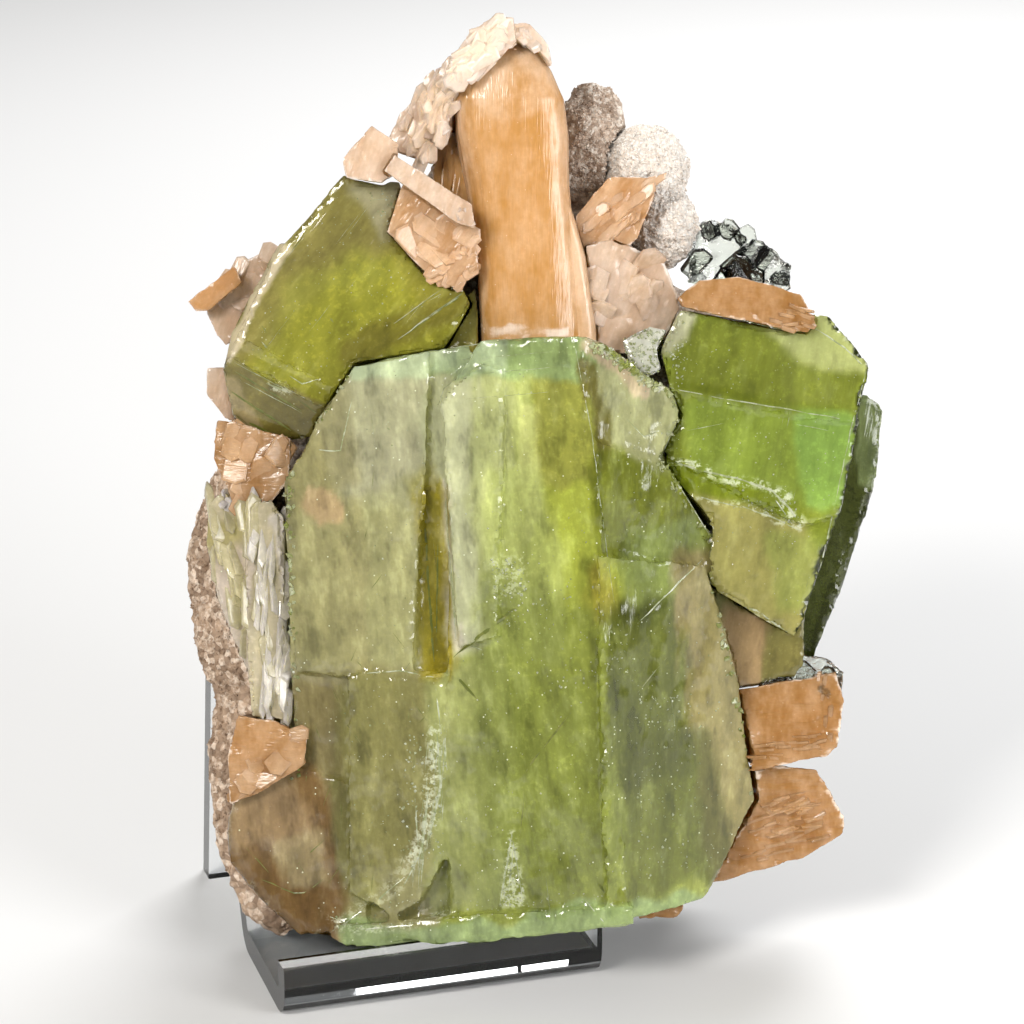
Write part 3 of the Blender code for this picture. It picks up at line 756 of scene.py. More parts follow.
ROCK = grainy_stone("grey_brown_rock", (0.42, 0.30, 0.22), (0.85, 0.67, 0.53), (0.98, 0.90, 0.80),
                    1.9, 0.22, stain=(0.16, 0.07, 0.05))
# Pale colour of healed cracks, and of painted edge highlights and sparkles.
WHITE_CRACKS_AND_GLINTS = two_tone_stone("white_cracks_and_glints", (0.50, 0.56, 0.28), (0.84, 0.88, 0.66), 0.12,
                              Transmission_Weight=0.5)
CRUMBS = two_tone_stone("green_crumbs", (0.22, 0.25, 0.05), (0.46, 0.48, 0.26), 0.1, 0.6, 3.0, 0.35, 0.65,
                        Subsurface_Weight=0.5, Subsurface_Radius=(1.0, 1.0, 0.4), Subsurface_Scale=0.003)
OLIVE_LINES = two_tone_stone("olive_lines", (0.10, 0.12, 0.012), (0.16, 0.17, 0.03), 0.3)
GLASS = glassy_stone("colourless_crystal", (0.84, 0.87, 0.80), 0.01, 0.25)


# ---------------------------------------------------------------- green crystals


def chipped(stone, height, size, seed):
    """Small flat chips knocked off the edges: leaning planes, only where an edge stands out."""
    _, number, lean = cells(stone.spots, size, seed)
    edge = stone.edge()
    stone.push(-height * edge * smooth(number * 2.4 - 0.9) + np.minimum(lean * 0.10, 0.02) * edge)


def undulating(stone, height, size, seed):
    """Soft rises and hollows of the given height."""
    stone.push(height * rough(stone.spots, size, seed))


def terraced(stone, height, size, seed, levels=5.0):
    """Growth steps: noise cut into level plates with narrow rises between them."""
    value = rough(stone.spots, size, seed, 2) * levels
    base = np.floor(value)
    stone.push(height * (base + smooth((value - base - 0.8) * 5.0)) / levels)


def main_crystal():
    """The large front crystal, then the ledges, grooves, crumbs and sparkles on it."""
    stone = even_stone("apophyllite_main", 0.43)
    places = stone.places
    front = smooth(stone.ways[:, 2] * 2.0)
    dents = -0.55 * touch(places, [(432, 500), (436, 600), (434, 668)], 9, 14) * front
    dents += 0.35 * patch(places, [(432, 412), (444, 384), (470, 372), (498, 378), (500, 520), (470, 640),
                                   (452, 600)], 5) * front
    dents -= 0.25 * touch(places, [(345, 672), (440, 680)], 1, 5) * front
    stone.push(dents)
    undulating(stone, 0.03, (2.4, 16.0, 2.4), 3)
    terraced(stone, 0.30, (3.2, 26.0, 6.0), 8)
    terraced(stone, 0.22, (11.0, 9.0, 11.0), 18, 6.0)
    chipped(stone, 0.25, 2.2, 5)
    stone.settle(0.2)
    places = stone.places
    edge = stone.edge(4, 0.10)
    soft = stone.drifted(5.0, 31, 9.0)
    tone = Tone(stone, (0.31, 0.35, 0.06))
    # The darkest olive coats, laid where the crystal is most see-through, are painted shade: they stand for
    # the shadowed rock seen behind it.
    tone.coat_all([
        ((0.29, 0.27, 0.12), [(275, 440), (440, 440), (440, 700), (430, 930), (280, 930)], 14, 1.0, 0.35),
        ((0.36, 0.35, 0.21), [(348, 362), (440, 352), (440, 470), (420, 490), (350, 480), (330, 420)], 18,
         0.95, 0.2),
        ((0.27, 0.24, 0.10), [(284, 400), (330, 380), (340, 470), (300, 500), (276, 470)], 16, 0.6, 0.4),
        ((0.16, 0.12, 0.045), [(285, 700), (425, 700), (418, 790), (370, 860), (290, 850)], 26, 0.7, 0.4),
        ((0.22, 0.21, 0.07), [(350, 690), (430, 690), (420, 790), (370, 900), (345, 900)], 14, 0.8, 0.5),
        ((0.34, 0.34, 0.15), [(375, 500), (420, 480), (415, 660), (380, 660)], 14, 0.5, 0.4),
        ((0.41, 0.42, 0.24), [(430, 412), (444, 386), (470, 372), (496, 372), (500, 400), (498, 480),
                              (488, 560), (480, 640), (452, 645), (448, 560), (440, 480)], 12, 1.0, 0.05),
        ((0.36, 0.39, 0.13), [(492, 380), (520, 380), (516, 470), (506, 560), (488, 640), (482, 500)], 12,
         0.7, 0.35),
        ((0.50, 0.46, 0.34), [(441, 490), (447, 560), (455, 644)], (3, 5), 0.9, 0.0),
        ((0.27, 0.29, 0.10), [(446, 680), (492, 660), (500, 760), (492, 900), (440, 900)], 14, 0.9, 0.3),
        ((0.45, 0.47, 0.16), [(520, 406), (538, 410), (536, 500), (524, 540)], 4, 0.8, 0.4),
        ((0.34, 0.38, 0.05), [(566, 440), (592, 430), (604, 500), (618, 620), (612, 690), (570, 660),
                              (552, 540)], 14, 0.9, 0.6),
        ((0.27, 0.27, 0.05), [(538, 366), (582, 356), (598, 440), (590, 480), (548, 480)], 9, 0.8, 0.8),
        ((0.36, 0.40, 0.12), [(498, 480), (530, 480), (552, 560), (560, 650), (500, 640)], 12, 0.7, 0.5),
        ((0.42, 0.36, 0.05), [(598, 570), (603, 620)], (4, 12), 0.7, 1.0),
        ((0.18, 0.21, 0.04), [(500, 600), (600, 640), (622, 760), (600, 900), (500, 900)], 26, 0.7, 0.8),
        ((0.32, 0.26, 0.015), [(428, 500), (433, 600), (433, 668)], (9, 13), 1.0, 0.9),
        ((0.26, 0.23, 0.03), [(420, 484), (430, 520), (424, 640)], (6, 14), 0.6, 0.8),
        ((0.25, 0.34, 0.13), [(500, 336), (578, 334), (592, 356), (590, 372), (520, 368), (440, 370)], 8, 0.9,
         0.7),
        ((0.40, 0.48, 0.28), [(345, 362), (440, 346), (500, 340), (498, 366), (400, 372), (356, 376)], 7, 0.8,
         0.4),
        ((0.15, 0.13, 0.025), [(584, 360), (598, 380), (612, 452), (606, 470), (592, 400)], 5, 0.9, 0.9),
        ((0.36, 0.36, 0.18), [(600, 350), (650, 372), (680, 402), (680, 430), (658, 462), (620, 440)], 9, 0.9,
         0.3),
        ((0.50, 0.38, 0.24), [(588, 342), (612, 362), (640, 382)], (5, 6), 0.8, 0.1),
        ((0.14, 0.16, 0.01), [(600, 460), (650, 470), (690, 500), (700, 560), (640, 580), (606, 540)], 12,
         0.8, 0.9),
        ((0.22, 0.27, 0.08), [(640, 540), (690, 528), (706, 560), (680, 592), (640, 612), (630, 580)], 14,
         0.75, 0.4),
        ((0.06, 0.07, 0.004), [(618, 620), (680, 600), (690, 640), (680, 760), (630, 780)], 14, 0.8, 1.0),
        ((0.27, 0.22, 0.09), [(684, 560), (722, 560), (746, 660), (760, 800), (720, 870), (706, 740)], 14,
         0.9, 0.3),
        ((0.08, 0.09, 0.01), [(636, 760), (700, 740), (716, 860), (640, 890)], 16, 0.7, 0.8),
        ((0.28, 0.37, 0.15), [(330, 925), (420, 935), (560, 915), (700, 900), (700, 925), (420, 965),
                              (330, 955)], 6, 0.85, 0.6),
        ((0.17, 0.10, 0.035), [(224, 780), (300, 776), (318, 800), (334, 900), (330, 950), (224, 950)], 12,
         1.0, 0.5),
        ((0.34, 0.24, 0.13), [(232, 800), (280, 790), (300, 830), (250, 860)], 14, 0.6, 0.3),
        ((0.13, 0.07, 0.02), [(226, 862), (262, 850), (300, 880), (322, 930), (270, 930)], 10, 0.6, 0.6),
        ((0.36, 0.30, 0.16), [(282, 846), (318, 840), (322, 880), (296, 884)], 8, 0.6, 0.3),
        ((0.50, 0.34, 0.18), [(304, 488), (326, 494), (336, 512), (318, 524), (302, 510)], 6, 0.7, 0.2),
    ])
    # Painted highlights: the glint paint makes the colour paler along edges and along lines and patches of
    # bright glints.
    glint = edge * smooth(0.2 + swell(stone.spots, 2.5, 71)) * 0.25
    glint = np.maximum(glint, 0.55 * touch(soft, [(438, 725), (440, 775), (428, 830), (415, 862)], 2, 12))
    glint = np.maximum(glint, 0.35 * touch(soft, [(415, 850), (396, 888), (340, 925)], 2, 12))
    glint = np.maximum(glint, 0.5 * patch(places, [(502, 905), (512, 832), (524, 905)], 6))
    glint = np.maximum(glint, 0.4 * touch(places, [(330, 918), (360, 931), (410, 926), (448, 912)], 1.5, 5))
    glint = np.maximum(glint, 0.35 * patch(places, [(494, 562), (520, 560), (522, 590), (498, 592)], 10))
    stone.paint = tone.paint(glint)
    show("green_main_crystal", stone, GREEN, "apophyllite_main")
    host = Host(stone)
    chance = np.random.default_rng(7)
    # Pale veins: ledges and healed cracks, and painted highlights along the ridge and the plates' edges.
    light = [
        ([(574, 340), (592, 435), (603, 521), (614, 601)], 1.5),
        ([(592, 342), (640, 374), (672, 396)], 2.0),
        ([(672, 396), (680, 415), (661, 458)], 2.2), ([(661, 460), (690, 502), (716, 545)], 2.6),
        ([(716, 575), (735, 650), (757, 800)], 2.6), ([(702, 560), (672, 590), (641, 620)], 3.0),
        ([(445, 500), (451, 570), (456, 640)], 3.6), ([(457, 641), (482, 650)], 2.6),
        ([(358, 674), (400, 671), (440, 678)], 2.4), ([(628, 420), (645, 438), (664, 428)], 2.0),
        ([(330, 917), (360, 930), (410, 926), (447, 910)], 3.0), ([(352, 357), (420, 352), (500, 341)], 2.4),
        ([(437, 735), (441, 785), (430, 835)], 5.0), ([(444, 728), (447, 770)], 3.0),
        ([(428, 790), (422, 850), (404, 885)], 4.0), ([(415, 800), (418, 845)], 2.4),
        ([(404, 878), (372, 905), (334, 930)], 3.0), ([(436, 690), (440, 728)], 2.6),
        ([(436, 410), (446, 384), (474, 374)], 2.4), ([(585, 900), (610, 930)], 2.2),
        ([(500, 903), (512, 832)], 3.0), ([(512, 835), (523, 903)], 2.6), ([(507, 900), (513, 850)], 2.6),
        ([(290, 446), (340, 452), (352, 400)], 2.2), ([(640, 375), (604, 352)], 4.0),
    ]
    for level in (352, 366, 391):
        start = chance.uniform(420, 480)
        light.append(([(start, level + 8), (start + 45, level + 4), (start + 90, level)], 0.8))
    for _ in range(8):
        across, down = chance.uniform(355, 700), chance.uniform(390, 880)
        reach = chance.uniform(12, 60)
        light.append(([(across, down), (across + reach * 0.06, down + reach * 0.5),
                       (across + reach * 0.12, down + reach)], chance.uniform(0.4, 0.7)))
    for _ in range(34):
        down = chance.uniform(725, 870)
        across = 438 - max(down - 780, 0) * 0.25 + chance.normal(0.0, 5.0)
        reach = chance.uniform(10, 36)
        light.append(([(across, down), (across - reach * 0.1, down + reach)], chance.uniform(0.8, 2.6)))
    lay_lines("pale_ledges_healed_cracks_and_edge_highlights", host, light, LIGHT_SHARE, 0.05, WHITE_CRACKS_AND_GLINTS, chance)
    dark = [
        ([(455, 656), (488, 630), (521, 604)], 4.0), ([(450, 670), (478, 700)], 3.4),
        ([(527, 770), (540, 752)], 3.0), ([(545, 746), (570, 714)], 3.0), ([(640, 690), (665, 660)], 1.8),
        ([(424, 500), (428, 580), (434, 660)], 3.0), ([(438, 540), (436, 640)], 2.2),
        ([(520, 835), (524, 800)], 1.6), ([(598, 884), (604, 892)], 4.0), ([(706, 884), (710, 893)], 5.0),
        ([(300, 862), (322, 842)], 1.8), ([(262, 880), (300, 896), (322, 880)], 1.6),
        ([(248, 850), (268, 872)], 1.6),
    ]
    for _ in range(26):
        across, down = chance.uniform(290, 430), chance.uniform(450, 880)
        tilt = chance.uniform(-0.9, 0.9)
        reach = chance.uniform(6, 22)
        dark.append(([(across, down), (across + tilt * reach, down + reach)], chance.uniform(0.6, 1.2)))
    lay_lines("dark_grooves", host, dark, DARK_SHARE, 0.03, OLIVE_LINES, chance)
    spread = [
        ([(350, 360), (640, 350), (740, 640), (740, 860), (340, 900)], 420, 0.16),
        ([(490, 560), (522, 556), (526, 596), (494, 600)], 60, 0.28),
        ([(500, 905), (512, 826), (526, 905)], 90, 0.26),
        ([(630, 700), (700, 690), (720, 860), (640, 880)], 150, 0.22),
        ([(405, 735), (448, 725), (440, 860), (400, 880)], 120, 0.26),
        ([(590, 345), (630, 350), (672, 392), (640, 385)], 130, 0.26),
        ([(500, 575), (620, 575), (640, 690), (520, 690)], 120, 0.20),
        ([(330, 905), (640, 890), (640, 905), (340, 935)], 130, 0.2),
    ]
    seams = [
        ([(664, 392), (682, 396), (688, 416), (670, 460), (724, 548), (712, 552), (656, 462), (676, 414)],
         260),
        ([(340, 360), (362, 352), (330, 410), (296, 452), (284, 446), (322, 404)], 160),
        ([(590, 340), (640, 366), (676, 392), (670, 398), (636, 378), (592, 352)], 150),
        ([(706, 566), (722, 562), (764, 806), (754, 812)], 120),
        ([(284, 440), (292, 440), (300, 780), (290, 780)], 120),
    ]
    lay_dots("crumbs_along_the_seams", host, [(*seam, CRUMB_SIZE) for seam in seams], CRUMBS, chance)
    # Painted sparkles: small bits in the pale crack colour that stand for glints.
    lay_dots("white_sparkles", host, spread, WHITE_CRACKS_AND_GLINTS, chance)


def left_crystal():
    """The tilted prism with its darker end face, then its lines and sparkles."""
    stone = even_stone("apophyllite_left", 0.36)
    terraced(stone, 0.24, (7.0, 7.0, 7.0), 12)
    chipped(stone, 0.5, 1.8, 15)
    stone.settle(0.2)
    places = stone.places
    edge = stone.edge(4, 0.10)
    tone = Tone(stone, (0.29, 0.28, 0.025), (3.0, 3.0), 6.0, 41)
    tone.coat_all([
        ((0.21, 0.18, 0.05), [(300, 225), (345, 180), (400, 186), (420, 225), (376, 240), (330, 254),
                              (262, 330), (238, 350), (240, 330)], 20, 0.95, 0.4),
        ((0.38, 0.35, 0.20), [(362, 190), (410, 190), (424, 224), (386, 230)], 10, 0.8, 0.2),
        ((0.32, 0.32, 0.04), [(300, 300), (360, 270), (372, 320), (320, 370), (280, 360)], 22, 0.6, 1.0),
        ((0.17, 0.15, 0.02), [(356, 352), (410, 326), (474, 290)], (9, 14), 0.9, 0.8),
        ((0.24, 0.21, 0.03), [(400, 240), (450, 262), (476, 288), (430, 300)], 14, 0.6, 0.8),
        ((0.54, 0.46, 0.30), [(222, 372), (240, 330), (262, 285), (284, 248)], (4, 5), 0.95, 0.1),
        ((0.17, 0.14, 0.03), [(228, 362), (320, 407), (345, 402), (310, 440), (262, 442), (222, 416)], 4,
         0.95, 0.9),
        ((0.34, 0.27, 0.13), [(222, 380), (236, 380), (262, 440), (232, 420)], 5, 0.8, 0.4),
        ((0.26, 0.23, 0.07), [(262, 384), (330, 416)], (3, 4), 0.6, 0.9),
    ])
    # Painted highlights: the glint paint makes the colour paler along the edges and on a short bright line.
    glint = edge * smooth(0.1 + swell(stone.spots, 2.0, 73)) * 0.2
    glint = np.maximum(glint, 0.5 * touch(places, [(270, 386), (288, 392)], 2, 5))
    stone.paint = tone.paint(glint)
    show("green_left_crystal", stone, GREEN_TILTED, "apophyllite_left")
    host = Host(stone)
    chance = np.random.default_rng(17)
    # Pale lines: cracks, and painted highlights along the crystal's edges.
    light = [
        ([(230, 360), (275, 384), (320, 405)], 1.6), ([(320, 405), (345, 399), (356, 356)], 2.0),
        ([(268, 384), (288, 392)], 5.0), ([(240, 380), (300, 412)], 1.6), ([(262, 342), (268, 350)], 3.0),
        ([(290, 376), (302, 384), (315, 380)], 2.4), ([(372, 200), (408, 196), (416, 226)], 1.8),
        ([(430, 300), (472, 278)], 1.4), ([(300, 408), (314, 436)], 2.0),
    ]
    for _ in range(10):
        across, down = chance.uniform(250, 420), chance.uniform(200, 350)
        reach = chance.uniform(14, 60)
        light.append(([(across, down), (across + reach * 0.6, down - reach * 0.78)],
                      chance.uniform(0.4, 0.7)))
    lay_lines("light_lines_on_the_left_crystal", host, light, LIGHT_SHARE, 0.04, WHITE_CRACKS_AND_GLINTS, chance)
    dark = [
        ([(236, 372), (300, 410)], 3.0), ([(232, 392), (290, 430)], 4.0), ([(240, 418), (276, 436)], 3.0),
        ([(296, 398), (326, 420)], 2.4), ([(400, 338), (466, 292)], 2.6), ([(396, 322), (440, 290)], 1.8),
        ([(415, 326), (470, 288)], 1.6), ([(262, 326), (266, 332)], 2.6), ([(330, 318), (333, 322)], 2.4),
    ]
    lay_lines("dark_lines_on_the_left_crystal", host, dark, DARK_SHARE, 0.03, OLIVE_LINES, chance)
    # Painted sparkles: small bits in the pale crack colour that stand for glints.
    spread = [([(240, 350), (345, 185), (400, 190), (470, 285), (350, 350), (320, 400)], 170, 0.14),
              ([(370, 195), (410, 190), (424, 224), (384, 232)], 60, 0.22)]
    lay_dots("sparkles_on_the_left_crystal", host, spread, WHITE_CRACKS_AND_GLINTS, chance)


def right_crystal():
    """The stacked plates with painted shade on their right-facing side, then their lines and sparkles."""
    stone = even_stone("apophyllite_right", 0.40)
    terraced(stone, 0.24, (7.0, 7.0, 7.0), 52)
    chipped(stone, 0.6, 2.0, 55)
    stone.settle(0.2)
    edge = stone.edge(4, 0.10)
    soft = stone.drifted(4.0, 61, 8.0)
    # Painted shade mask: the side of the plates that faces right, away from the key light.
    side = smooth(stone.ways[:, 0] * 5.0 - 1.6)
    tone = Tone(stone, (0.24, 0.29, 0.03), (3.0, 3.0), 6.0, 61)
    tone.coat_all([
        ((0.18, 0.21, 0.025), [(680, 322), (800, 336), (856, 372), (848, 410), (770, 402), (676, 384)], 8,
         0.95, 0.9),
        ((0.42, 0.45, 0.17), [(770, 326), (826, 318), (864, 368), (800, 350)], 10, 0.85, 0.3),
        ((0.14, 0.17, 0.01), [(680, 384), (770, 404), (848, 418)], (3, 6), 0.8, 0.9),
        ((0.21, 0.28, 0.04), [(690, 410), (844, 424), (832, 500), (700, 462)], 12, 0.8, 0.7),
        ((0.22, 0.38, 0.08), [(800, 420), (846, 424), (834, 500), (812, 500)], 8, 0.6, 0.8),
        ((0.19, 0.24, 0.01), [(670, 466), (740, 486), (790, 506), (796, 524), (730, 504), (686, 492)], 4, 0.8,
         1.0),
        ((0.32, 0.29, 0.09), [(694, 500), (800, 532), (822, 570), (796, 640), (724, 604), (714, 560)], 10,
         0.95, 0.3),
        ((0.27, 0.32, 0.07), [(780, 540), (826, 550), (812, 600), (786, 600)], 12, 0.6, 0.5),
        ((0.46, 0.45, 0.30), [(664, 345), (684, 312)], (6, 10), 0.8, 0.2),
    ])
    # Painted shade: the right-facing side is darkened to near black and its see-through share is cut.
    tone.colour += (np.array((0.02, 0.025, 0.001)) - tone.colour) * side[:, None]
    tone.clear *= 1.0 - 0.7 * side
    # Painted highlights: the glint paint makes the colour paler along the edges and along two bright lines.
    glint = edge * smooth(0.1 + swell(stone.spots, 2.0, 75)) * 0.4
    glint = np.maximum(glint, 0.6 * touch(soft, [(662, 458), (745, 482), (782, 492), (802, 524)], 1.5, 6))
    glint = np.maximum(glint, 0.5 * touch(soft, [(690, 494), (740, 506), (800, 528)], 1.0, 5))
    stone.paint = tone.paint(glint)
    show("green_right_crystal", stone, GREEN_DARK, "apophyllite_right")
    host = Host(stone)
    chance = np.random.default_rng(27)
    # Pale lines: cracks, and painted highlights along the plates' edges.
    light = [
        ([(682, 310), (750, 322), (816, 330)], 2.2), ([(818, 330), (848, 350), (868, 370)], 3.0),
        ([(866, 372), (852, 425), (836, 500)], 2.2), ([(834, 510), (820, 570), (800, 632)], 2.6),
        ([(672, 388), (720, 398), (770, 406), (848, 420)], 2.0), ([(664, 459), (700, 470), (746, 481)], 4.0),
        ([(740, 479), (772, 490), (790, 508), (801, 526)], 5.0), ([(690, 495), (740, 507)], 2.6),
        ([(736, 504), (770, 516), (800, 530)], 2.8), ([(770, 492), (792, 524)], 2.4),
        ([(726, 601), (760, 612), (794, 638)], 4.0), ([(768, 618), (796, 636)], 3.0),
        ([(800, 425), (826, 430)], 1.6), ([(690, 430), (720, 424)], 1.4),
    ]
    for _ in range(7):
        across, down = chance.uniform(680, 830), chance.uniform(325, 600)
        reach = chance.uniform(10, 34)
        light.append(([(across, down), (across - reach * 0.2, down + reach)], chance.uniform(0.4, 0.7)))
    lay_lines("light_lines_on_the_right_crystal", host, light, LIGHT_SHARE, 0.05, WHITE_CRACKS_AND_GLINTS, chance)
    # Painted sparkles: small bits in the pale crack colour that stand for glints.
    spread = [([(680, 330), (860, 372), (800, 620), (690, 560), (670, 400)], 190, 0.14),
              ([(664, 350), (684, 318), (690, 350), (680, 392)], 50, 0.24),
              ([(730, 480), (796, 500), (800, 530), (750, 510)], 40, 0.24)]
    lay_dots("sparkles_on_the_right_crystal", host, spread, WHITE_CRACKS_AND_GLINTS, chance)


def plain_green(node, cell, finish, colour, clear=0.8, chips=0.4, coats=(), grown=()):
    """A smaller apophyllite crystal: one tone with a few coats, and plates grown on it."""
    stone = even_stone(node, cell)
    terraced(stone, 0.24, (3.0, 9.0, 3.0), len(node))
    chipped(stone, chips, 1.6, len(node))
    stone.settle(0.2)
    tone = Tone(stone, colour)
    tone.clear *= clear
    tone.coat_all(coats)
    # Painted highlights: the glint paint makes the colour paler along the edges.
    stone.paint = tone.paint(stone.edge(4, 0.10) * smooth(0.2 + swell(stone.spots, 2.0, 77)) * 0.5)
    show(node + "_dressed", stone, finish, node)
    chance = np.random.default_rng(len(node))
    host = Host(stone) if grown else None
    for number, (plate_colour, *one) in enumerate(grown):
        small = plates(host, *one, chance)
        count = len(small.spots)
        # Painted highlights: an even touch of glint paint on the plates.
        small.paint = {"tone": np.tile(np.array(plate_colour), (count, 1)),
                       "clear": np.full(count, 0.5), "glint": np.full(count, 0.15)}
        lay(f"{node}_plates{number}", [small], finish)
    return stone


# ---------------------------------------------------------------- peach pieces


def broken(stone, size, height, seed):
    """Flat broken faces sunk into the solid, with their ridges left at its surface."""
    _, _, lean = cells(stone.spots, size, seed)
    stone.push(np.minimum(lean * height, 0.06))


def silky(node, cell, finish, size, height, pale=0.0, seed=1, grown=()):
    """One stilbite piece: its solid with broken faces, and the small plates grown on it."""
    stone = even_stone(node, cell)
    broken(stone, np.array(size), height * 0.6, seed)
    undulating(stone, 0.06, (1.2, 5.0, 1.2), seed)
    stone.settle(0.4)
    edge = stone.edge(4, 0.12)
    stone.paint["pale"] = np.full(len(stone.spots), pale)
    stone.paint["rim"] = edge * 0.9 * smooth(0.5 + swell(stone.spots, 1.6, seed + 3))
    show(node + "_dressed", stone, finish, node)
    chance = np.random.default_rng(seed)
    host = Host(stone) if grown else None
    small = [plates(host, *one, chance) for one in grown]
    small = [one for one in small if one is not None]
    if small:
        stone = joined(small)
        stone.paint = {"pale": np.full(len(stone.spots), pale + 0.25),
                       "rim": np.full(len(stone.spots), 0.12)}
        lay(node + "_plates", [stone], finish)


def bundle(heights, left, right, front, back, rows, sides, groove, seed):
    """A sheaf of fine blades: the level v runs up the rows, and at each level the section is a flat
    rounded loop between left and right, front and back. Its radius swells along lines that keep
    their share of the width, so that they fan out where the sheaf widens."""
    share = np.linspace(0.0, 1.0, rows)
    level = heights[0] + (heights[-1] - heights[0]) * (1.0 - (1.0 - share) ** 1.15)
    turn = np.linspace(0.0, 2.0 * math.pi, sides, endpoint=False)
    lo, hi = np.interp(level, heights, left), np.interp(level, heights, right)
    near, far = np.interp(level, heights, front), np.interp(level, heights, back)
    ca, sa = np.cos(turn), np.sin(turn)
    loop_u = np.sign(ca) * np.abs(ca) ** 0.55
    loop_w = np.sign(sa) * np.abs(sa) ** 0.62
    line = np.stack((loop_u * 9.0, np.zeros(sides), loop_w * 6.0), 1)
    stripes = groove * (swell(line, 0.55, seed) + 0.6 * swell(line, 0.23, seed + 1)
                        + 1.3 * swell(line, 2.2, seed + 2))
    grown = 1.0 + stripes[None, :] * (0.6 + 0.4 * share[:, None])
    u = (lo + hi)[:, None] / 2 + (hi - lo)[:, None] / 2 * loop_u * grown
    w = (near + far)[:, None] / 2 + (near - far)[:, None] / 2 * loop_w * grown
    v = np.repeat(level[:, None], sides, 1)
    spots = np.stack((u, v, w), -1).reshape(-1, 3)
    poles = [(spots[:sides].mean(0)), (spots[-sides:].mean(0))]
    stone = Stone(np.concatenate((spots, poles)), tube_faces(rows, sides))
    if ((stone.spots - stone.spots.mean(0)) * stone.ways).sum() < 0:
        stone.faces = [face[::-1] for face in stone.faces]
        stone.measure()
    return stone


def sheaf():
    """The tall sheaf: its broad head, and the narrow pale strip along its right foot."""
    head = bundle(
        (66.0, 70.0, 80.0, 90.0, 96.0, 100.0, 103.2, 105.2, 106.4, 107.0),
        (-3.3, -3.4, -4.0, -5.3, -6.5, -6.7, -5.6, -4.0, -2.2, -0.6),
        (8.6, 8.5, 7.7, 6.7, 6.5, 5.9, 4.6, 3.4, 2.0, 0.2),
        (9.4, 9.7, 10.7, 11.6, 12.4, 12.5, 12.1, 11.2, 10.0, 8.4),
        (1.0, 1.2, 1.6, 2.2, 2.6, 3.0, 3.6, 4.4, 5.4, 7.0), 130, 160, 0.009, 5)
    strip = bundle(
        (66.0, 74.0, 82.0, 86.0, 90.0),
        (6.6, 6.6, 5.8, 5.4, 5.4), (10.1, 9.8, 8.6, 7.4, 6.2),
        (8.2, 8.8, 9.4, 9.6, 9.6), (1.6, 2.0, 3.0, 4.0, 5.0), 90, 80, 0.015, 9)
    stone = joined((head, strip))
    undulating(stone, 0.10, (3.0, 9.0, 3.0), 23)
    count = len(head.spots)
    pale = np.zeros(len(stone.spots))
    pale[count:] = 0.7
    soft = stone.drifted(3.0, 81, 5.0)
    pale = np.maximum(pale, 0.6 * touch(soft, [(455, 110), (462, 200), (478, 320)], 3, 16))
    pale = np.maximum(pale, 0.6 * touch(soft, [(562, 110), (566, 200), (580, 320)], 3, 16))
    crest = [(470, 60), (530, 40), (550, 80), (520, 110), (480, 100)]
    pale = np.maximum(pale, 0.5 * patch(soft, crest, 26))
    rim = 0.8 * touch(soft, [(486, 328), (530, 334), (582, 330)], 3, 8)
    rim = rim * smooth(0.6 + swell(stone.spots, 1.2, 5))
    stone.paint = {"pale": pale, "rim": rim}
    show("stilbite_sheaf_dressed", stone, PEACH, "stilbite_sheaf")


# ---------------------------------------------------------------- grains, crust and rock


def rock(node, name, cell, finish, size, height, seed):
    """A lumpy piece: rounded cells of the given size that stand out by up to the given height."""
    stone = even_stone(node, cell)
    far, number, lean = cells(stone.spots, np.array(size), seed)
    stone.push(height * (number * 0.8 - far * 0.9) + lean * 0.25)
    undulating(stone, height * 0.5, (size * 0.6,) * 3, seed + 2)
    stone.paint = {"rim": stone.edge(3, 0.2) * 0.3}
    show(name, stone, finish, node)
    return stone


def grains(name, stone, outline, count, size, finish, seed):
    """Loose grains over a lumpy piece."""
    chance = np.random.default_rng(seed)
    lay(name, [sparkles(Host(stone), outline, count, size, chance)], finish)


def clear_crystal(node, outline, seed):
    """A colourless crystal: its solid with growth steps, and a few clear plates grown on it."""
    stone = even_stone(node, 0.20)
    terraced(stone, 0.35, (2.0, 2.0, 2.0), seed)
    chipped(stone, 0.4, 1.4, seed)
    show(node + "_dressed", stone, GLASS, node, sharp=12.0)
    chance = np.random.default_rng(seed)
    grown = plates(Host(stone), outline, 7, (4.2, 2.8, 1.2), (0.5, 0.8, 0.1), (0.4, 0.1, 1), 0.35, 0.1,
                   chance)
    lay(node + "_plates", [grown], GLASS)


